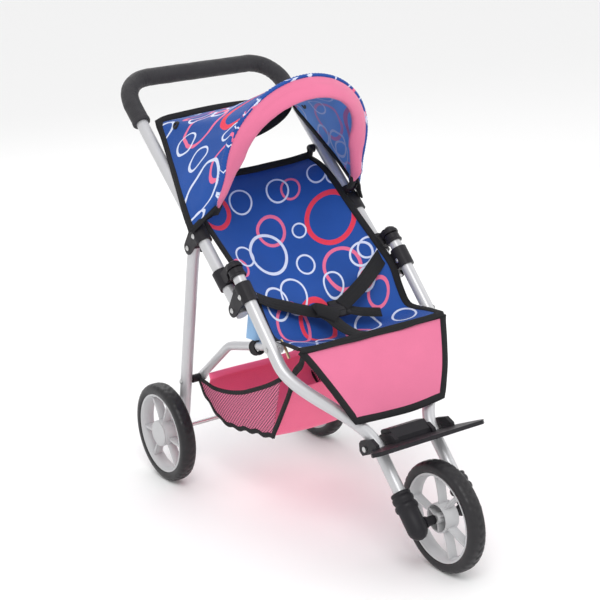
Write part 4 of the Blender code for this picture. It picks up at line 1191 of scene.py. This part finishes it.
class STROLLER_OT_harness(bpy.types.Operator):
    """Shoulder straps, crotch strap and buckle"""
    bl_idname = "stroller.harness"
    bl_label = "Harness"

    def execute(self, context):
        width = context.scene.stroller_sizes.strap
        up = Vector((0.0, -0.55, 0.83))
        right = resample([axle_frame(-0.1080, 0.2254, 0.3171), axle_frame(-0.0850, 0.2290, 0.3040),
                          axle_frame(-0.0650, 0.2270, 0.2960), axle_frame(-0.0460, 0.2220, 0.2885),
                          axle_frame(-0.0280, 0.2150, 0.2830), axle_frame(-0.0080, 0.2080, 0.2800)], 0.006)
        left = resample([axle_frame(0.1080, 0.2510, 0.3270), axle_frame(0.0800, 0.2360, 0.3150),
                         axle_frame(0.0480, 0.2190, 0.3030), axle_frame(0.0080, 0.2080, 0.2860)], 0.006)
        crotch = resample([axle_frame(-0.0270, 0.2080, 0.2850), axle_frame(-0.0190, 0.1960, 0.2790),
                           axle_frame(-0.0150, 0.1780, 0.2705), axle_frame(-0.0130, 0.1550, 0.2670),
                           axle_frame(-0.0120, 0.1340, 0.2710)], 0.006)
        tail = resample([axle_frame(0.0100, 0.2030, 0.2820), axle_frame(0.0330, 0.2001, 0.2740),
                         axle_frame(0.0580, 0.1920, 0.2700)], 0.006)
        for name, line, node in (("strap_right", right, "harness_strap_right"),
                                 ("strap_left", left, "harness_strap_left"),
                                 ("strap_crotch", crotch, "crotch_strap")):
            strap = ribbon(line, [up] * len(line), width, WEBBING_THICK)
            settle(strap, name, "tape", "frame", [node])
            length_of(line)
        strap = ribbon(tail, [up] * len(tail), width * 0.8, WEBBING_THICK)
        settle(strap, "strap_tail", "tape", "frame")
        self.buckle()
        return {"FINISHED"}

    def buckle(self):
        """An oval side-release buckle, and the fold that doubles the shoulder strap beside it."""
        outline = []
        for k in range(28):
            angle = 2.0 * math.pi * k / 28.0
            outline.append((0.0100 * math.copysign(abs(math.cos(angle)) ** 0.7, math.cos(angle)),
                            0.0032 * math.copysign(abs(math.sin(angle)) ** 0.6, math.sin(angle))))
        body = slab(outline, -0.0130, 0.0130, 0.0016, 3)
        tongue = slab([(y * 0.5 + 0.0115, z * 0.7) for y, z in outline], -0.0095, 0.0095, 0.0008, 2)
        slot_bar = slab([(y * 0.28, z * 0.35 + 0.0030) for y, z in outline], -0.0070, 0.0070, 0.0004, 2)
        piece = join([body, tongue, slot_bar])
        tilt = Matrix.Rotation(math.radians(36.0), 4, "X")
        piece.data.transform(Matrix.Translation(axle_frame(0.0020, 0.2060, 0.2810)) @ tilt)
        settle(piece, "buckle", "plastic", "frame", ["harness_buckle"])
        fold = resample([axle_frame(-0.0110, 0.1890, 0.2790), axle_frame(-0.0190, 0.1985, 0.2845),
                         axle_frame(-0.0285, 0.2080, 0.2885), axle_frame(-0.0310, 0.2100, 0.2865)], 0.003)
        layer = ribbon(fold, [Vector((-0.10, -0.60, 0.79))] * len(fold), 0.0205, 0.0022)
        settle(layer, "strap_fold", "tape", "frame")


# The hood


HOOP_TOP = axle_frame(0.0, 0.2437, 0.5625)
HOOP_UP = (HOOP_TOP - HOOP_PIVOT).normalized()
HOOP_BACK = Vector((0.0, HOOP_UP.z, -HOOP_UP.y))
RIM_TIP = axle_frame(0.1050, 0.3150, 0.4090)
RIM_STEPS = 120


def arch(base, top, half, flare):
    """Half of a rim edge is a flared leg and a quarter circle, and the other half mirrors it."""
    up = (top - base).normalized()
    leg = (top - base).length - half
    line = [Vector((-RIM_TIP.x, RIM_TIP.y, RIM_TIP.z))]
    for k in range(8):
        share = k / 8.0
        line.append(base + up * (leg * share) - X_AXIS * (half * (1.0 + flare * (1.0 - share) ** 2)))
    for k in range(25):
        angle = math.pi / 2.0 * k / 24.0
        line.append(base + up * (leg + half * math.sin(angle)) - X_AXIS * (half * math.cos(angle)))
    line += mirrored(reversed(line[:-1]))
    return resample(line, length_of(line) / RIM_STEPS)


RIM_OUTER = arch(axle_frame(0.0, 0.3009, 0.4278), axle_frame(0.0, 0.2523, 0.5739), 0.1072, 0.046)
RIM_INNER = arch(axle_frame(0.0, 0.2920, 0.4587), axle_frame(0.0, 0.2342, 0.5495), 0.0815, 0.085)


def rim_place(line, t):
    return part_way(line, min(max(t, 0.0), 1.0))


SIDE_EDGE = ((0.1330, 0.1230, -0.0060), (0.1315, 0.1450, -0.0090), (0.1260, 0.1800, -0.0120),
             (0.1180, 0.2200, -0.0125), (0.1100, 0.2600, -0.0120), (0.1040, 0.2930, -0.0110))
SIDE_SHARE = 0.30


def hood_edge(t):
    """The hood's lower edge: up the right-hand tube, across the back, and down the left-hand tube."""
    side = -1.0 if t < 0.5 else 1.0
    share = min(t, 1.0 - t) / SIDE_SHARE
    if share < 1.0:
        x, along, back = part_way([Vector(place) for place in SIDE_EDGE], share)
        return grip(side * x, along, back)
    x, along, back = SIDE_EDGE[-1]
    s = (t - SIDE_SHARE) / (1.0 - 2.0 * SIDE_SHARE)
    return grip(x * (2.0 * s - 1.0), along, back) + Vector((0.0, 0.0, 0.0045 * math.sin(math.pi * s) ** 1.4))


class STROLLER_OT_hood(bpy.types.Operator):
    """Printed hood on its hoop, with the padded pink rim"""
    bl_idname = "stroller.hood"
    bl_label = "Hood"

    def execute(self, context):
        sizes = context.scene.stroller_sizes
        cover = cloth(self.cover_shape, 72, 26, self.cover_layout, 0.0014, inner=True)
        cover.name = "hood_cover"
        cover.data.materials.clear()
        cover.data.materials.append(FINISH["hood_print"])
        cover.data.materials.append(FINISH["print_back"])
        heart = axle_frame(0.0, 0.3600, 0.4300)
        for face in cover.data.polygons:
            face.material_index = int(face.normal.dot(face.center - heart) < 0.0)
        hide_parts("canopy_fabric")
        tape = self.binding(sizes)
        for thing in (cover, tape):
            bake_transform(thing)
        piping = self.piping()
        self.rim()
        self.ends()
        return {"FINISHED"}

    def piping(self):
        """The gathered roll of printed cloth that stands out round the rim's outer seam."""
        points, normals, sizes = [], [], []
        count = RIM_STEPS * 3
        for k in range(9, count - 8):
            t = k / count
            outer, across = rim_place(RIM_OUTER, t), rim_place(RIM_OUTER, t) - rim_place(RIM_INNER, t)
            along = rim_place(RIM_OUTER, t + 0.01) - rim_place(RIM_OUTER, t - 0.01)
            pucker = 0.5 + 0.5 * math.sin(k * 1.9 + 2.0 * noise.noise(Vector((k * 0.11, 0.0, 7.0))))
            share = min(1.0, 0.25 + 0.02 * min(k - 9, count - 9 - k))
            points.append(outer + across.normalized() * 0.0004 + Vector((0.0, 0.0008, 0.0)))
            normals.append(along.cross(across).normalized())
            sizes.append((0.0052 * share, (0.0024 + 0.0012 * pucker) * share))
        roll = swept(points, normals, sizes, 12)
        layer = roll.data.uv_layers.new(name="cloth")
        for loop in roll.data.loops:
            i, k = divmod(loop.vertex_index, 12)
            layer.data[loop.index].uv = (i * 0.0014, 0.10 + k * 0.0012)
        settle(roll, "hood_piping", "hood_print", "hood_hoop")
        return roll

    def ends(self):
        """Eyelets by the cover's rear corners, and the webbing that ties the rim's ends down."""
        for side, sign in SIDES:
            u = 0.5 + sign * 0.208
            place, beside = self.cover_shape(u, 0.80), self.cover_shape(u + 0.01, 0.80)
            facing = (beside - place).cross(self.cover_shape(u, 0.84) - place).normalized()
            facing = facing if facing.z > 0.0 else -facing
            eyelet = spun(((-0.0014, 0.0018), (-0.0014, 0.0060), (0.0012, 0.0056), (0.0022, 0.0042),
                           (0.0014, 0.0018)), place, facing, 24)
            settle(eyelet, "hood_eyelet_" + side, "plastic", "handle")
            tip = rim_place(RIM_OUTER, 0.014).lerp(rim_place(RIM_INNER, 0.014), 0.5)
            tip = Vector((sign * abs(tip.x), tip.y, tip.z))
            low = tip - HOOP_UP * 0.0110 + HOOP_BACK * 0.0030
            line = resample([tip + HOOP_UP * 0.0100, tip, low], 0.003)
            tie = ribbon(line, [HOOP_BACK * -1.0] * len(line), 0.0125, 0.0048)
            settle(tie, "hood_tie_" + side, "tape", "hood_hoop")

    def cover_front(self, u):
        t = 0.030 + 0.94 * u
        outer, inner = rim_place(RIM_OUTER, t), rim_place(RIM_INNER, t)
        across = outer - inner
        return outer + across * 0.03 + Vector((0.0, 0.0012, 0.0))

    def cover_shape(self, u, v):
        front, back = self.cover_front(u), hood_edge(u)
        place = front.lerp(back, v)
        middle = math.sin(math.pi * u)
        near_rim = max(0.0, 1.0 - v / 0.14)
        place += Vector((0.0, 0.0, -0.0060 * math.sin(math.pi * v) * middle))
        fold = math.sin(2.0 * math.pi * (u * 11.0 + 0.8 * noise.noise(Vector((u * 7.0, v * 2.0, 0.0)))))
        gather = 0.0008 * math.sin(2.0 * math.pi * u * 46.0) * near_rim
        uneven = 0.4 + 0.8 * abs(noise.noise(Vector((u * 4.0, v * 3.0, 5.0))))
        depth = 0.0018 * fold * math.sin(math.pi * v) * uneven
        outward = Vector((place.x, 0.0, place.z - 0.44)).normalized()
        return place + outward * (gather + depth)

    def cover_layout(self, u, v):
        return (u * 0.46, v * (hood_edge(u) - self.cover_front(u)).length)

    def binding(self, sizes):
        edge, normals = [], []
        for k in range(91):
            u = k / 90.0
            place, inner = self.cover_shape(u, 1.0), self.cover_shape(u, 0.93)
            rear = max(0.0, min(1.0, (min(u, 1.0 - u) - SIDE_SHARE + 0.03) / 0.06))
            tangent = hood_edge(min(u + 0.01, 1.0)) - hood_edge(max(u - 0.01, 0.0))
            flat = tangent.cross(inner - place).normalized()
            flat = flat if flat.z > 0.0 or rear == 0.0 else -flat
            side = Vector((math.copysign(0.9, u - 0.5), -0.35, 0.25))
            flat = flat.lerp(side, 0.35) if flat.dot(side) > 0.0 else (-flat).lerp(side, 0.35)
            normals.append(flat.lerp(Vector((0.0, -0.85, 0.53)), rear).normalized())
            edge.append(place + Vector((0.0, 0.0, 0.0030 * rear)))
        tapes = [ribbon(edge, normals, 0.0120, 0.0032)]
        for u in (0.0, 1.0):
            line = [self.cover_shape(u, k / 8.0) for k in range(9)]
            tapes.append(ribbon(line, [X_AXIS] * 9, sizes.binding * 0.9, 0.0032))
        tapes.append(self.valance())
        tape = join(tapes)
        tape.name = "hood_binding"
        dress(tape, "tape")
        return tape

    def valance(self):
        """The black flap that hangs in a crescent from the hood's rear edge."""
        def shape(u, v):
            place = hood_edge(SIDE_SHARE + (1.0 - 2.0 * SIDE_SHARE) * u)
            drop = (0.0080 + 0.0400 * math.sin(math.pi * u) ** 0.7) * v
            return place + Vector((0.0, -0.0040 - 0.10 * drop, -drop))

        return cloth(shape, 24, 4, lambda u, v: (0.208 * u, 0.045 * v), 0.0022)

    def rim(self):
        """The padded pink band between its two seams, tapering to the hoop's ends."""
        sides = 20
        points, normals, sizes = [], [], []
        for k in range(2, RIM_STEPS - 1):
            outer, inner = rim_place(RIM_OUTER, k / RIM_STEPS), rim_place(RIM_INNER, k / RIM_STEPS)
            along = rim_place(RIM_OUTER, (k + 1) / RIM_STEPS) - rim_place(RIM_OUTER, (k - 1) / RIM_STEPS)
            points.append((outer + inner) / 2.0)
            normals.append(along.cross(outer - inner).normalized())
            swell = min(1.0, 0.35 + 0.09 * min(k - 2, RIM_STEPS - 2 - k))
            half = max((outer - inner).length / 2.0, 0.0022)
            sizes.append((0.0062 * swell, half * (1.0 + 0.03 * noise.noise(Vector((k * 0.5, 0.0, 0.0))))))
        rim = swept(points, normals, sizes, sides)
        layer = rim.data.uv_layers.new(name="cloth")
        for loop in rim.data.loops:
            i, k = divmod(loop.vertex_index, sides)
            layer.data[loop.index].uv = (i * 0.0042, k * 0.0025)
        settle(rim, "hood_rim", "pink", "hood_hoop", ["canopy_bow_pad"])
        modify(rim, "SUBSURF", levels=1, render_levels=1)


KEPT = {
    "plastic": ("front_tube_cap_left", "front_tube_cap_right", "pivot_bracket_left", "pivot_bracket_right",
                "upper_bracket_left", "upper_bracket_right", "slider_lock_left", "slider_lock_right",
                "footrest", "canopy_clip_left", "canopy_clip_right", "backrest_clip_left",
                "backrest_clip_right", "link_spacer_left", "link_spacer_right"),
    "steel": ("bracket_rivet_left", "bracket_rivet_right", "fold_rivet_left", "fold_rivet_right",
              "link_rivet_left", "link_rivet_right", "handle_rivet_left", "handle_rivet_right",
              "leg_rivet_left", "leg_rivet_right", "spacer_rivet_left", "spacer_rivet_right",
              "footrest_bolt_left", "footrest_bolt_right", "front_axle", "rear_axle", "canopy_bow"),
}


class STROLLER_OT_fittings(bpy.types.Operator):
    """Finishes on the fittings that keep the shape they were made with"""
    bl_idname = "stroller.fittings"
    bl_label = "Fittings"

    def execute(self, context):
        for finish, names in KEPT.items():
            for name in names:
                dress(frame["nodes"][name], finish)
                smooth(frame["nodes"][name], 32.0)
        return {"FINISHED"}


class STROLLER_OT_finishes(bpy.types.Operator):
    """Paint, plastic, foam and cloth"""
    bl_idname = "stroller.finishes"
    bl_label = "Finishes"

    def execute(self, context):
        make_finishes()
        return {"FINISHED"}


LIGHTS = (("key", (-0.9, -1.5, 2.2), 1.0, 22.0), ("fill", (1.8, -1.0, 1.2), 1.6, 6.0),
          ("back", (0.3, 1.9, 1.8), 1.2, 10.0))


class STROLLER_OT_stage(bpy.types.Operator):
    """Pale floor, soft lights and the camera"""
    bl_idname = "stroller.stage"
    bl_label = "Studio"

    def execute(self, context):
        deselect()
        bpy.ops.mesh.primitive_plane_add(size=30.0, location=(0.0, 0.0, 0.0))
        floor = context.object
        floor.name = "studio_floor"
        material, _, shader = blank_finish("studio_floor", 0.0, 0.85)
        shader.inputs["Base Color"].default_value = (0.93, 0.93, 0.93, 1.0)
        floor.data.materials.append(material)
        world = bpy.data.worlds.new("studio")
        world.use_nodes = True
        world.node_tree.nodes["Background"].inputs[0].default_value = (1.0, 1.0, 1.0, 1.0)
        world.node_tree.nodes["Background"].inputs[1].default_value = 0.95
        context.scene.world = world
        context.scene.view_settings.view_transform = "Standard"
        for name, place, size, power in LIGHTS:
            bpy.ops.object.light_add(type="AREA", location=place)
            light = context.object
            light.name = name + "_light"
            light.data.size = size
            light.data.energy = power
            aim = Vector((0.0, 0.0, 0.28)) - Vector(place)
            light.rotation_euler = aim.to_track_quat("-Z", "Y").to_euler()
        self.camera(context)
        return {"FINISHED"}

    def camera(self, context):
        azimuth, elevation, roll = math.radians(-32.94), math.radians(17.09), -0.049
        distance = 1.9833
        target = Vector((0.0, FRONT_AXLE.y + 0.293, 0.2751))
        back = Vector((math.sin(azimuth) * math.cos(elevation), -math.cos(azimuth) * math.cos(elevation),
                       math.sin(elevation)))
        right = Vector((math.cos(azimuth), math.sin(azimuth), 0.0))
        up = back.cross(right)
        side = right * math.cos(roll) + up * math.sin(roll)
        top = up * math.cos(roll) - right * math.sin(roll)
        bpy.ops.object.camera_add(location=(0.0, 0.0, 0.0))
        camera = context.object
        camera.data.sensor_width = 36.0
        camera.data.lens = 90.16
        turn = Matrix((side, top, back)).transposed().to_4x4()
        camera.matrix_world = Matrix.Translation(target + back * distance) @ turn
        context.scene.camera = camera


class STROLLER_PT_panel(bpy.types.Panel):
    """Lists the stroller's pieces, sizes and colours"""
    bl_label = "Doll Stroller"
    bl_idname = "STROLLER_PT_panel"
    bl_space_type = "VIEW_3D"
    bl_region_type = "UI"
    bl_category = "Stroller"

    def draw(self, context):
        for operator in STEPS:
            self.layout.operator(operator.bl_idname)
        for group in (context.scene.stroller_sizes, context.scene.stroller_colours):
            for name in group.__annotations__:
                self.layout.prop(group, name)


STEPS = (STROLLER_OT_finishes, STROLLER_OT_fittings, STROLLER_OT_tubes, STROLLER_OT_grip, STROLLER_OT_wheels,
         STROLLER_OT_fork, STROLLER_OT_seat, STROLLER_OT_basket, STROLLER_OT_harness, STROLLER_OT_hood,
         STROLLER_OT_stage)
CLASSES = (StrollerSizes, StrollerColours, *STEPS, STROLLER_PT_panel)


def register():
    for item in CLASSES:
        bpy.utils.register_class(item)
    bpy.types.Scene.stroller_sizes = PointerProperty(type=StrollerSizes)
    bpy.types.Scene.stroller_colours = PointerProperty(type=StrollerColours)


def unregister():
    del bpy.types.Scene.stroller_colours
    del bpy.types.Scene.stroller_sizes
    for item in reversed(CLASSES):
        bpy.utils.unregister_class(item)


def main():
    register()
    for operator in STEPS:
        group, name = operator.bl_idname.split(".")
        getattr(getattr(bpy.ops, group), name)()


if __name__ == "__main__":
    main()
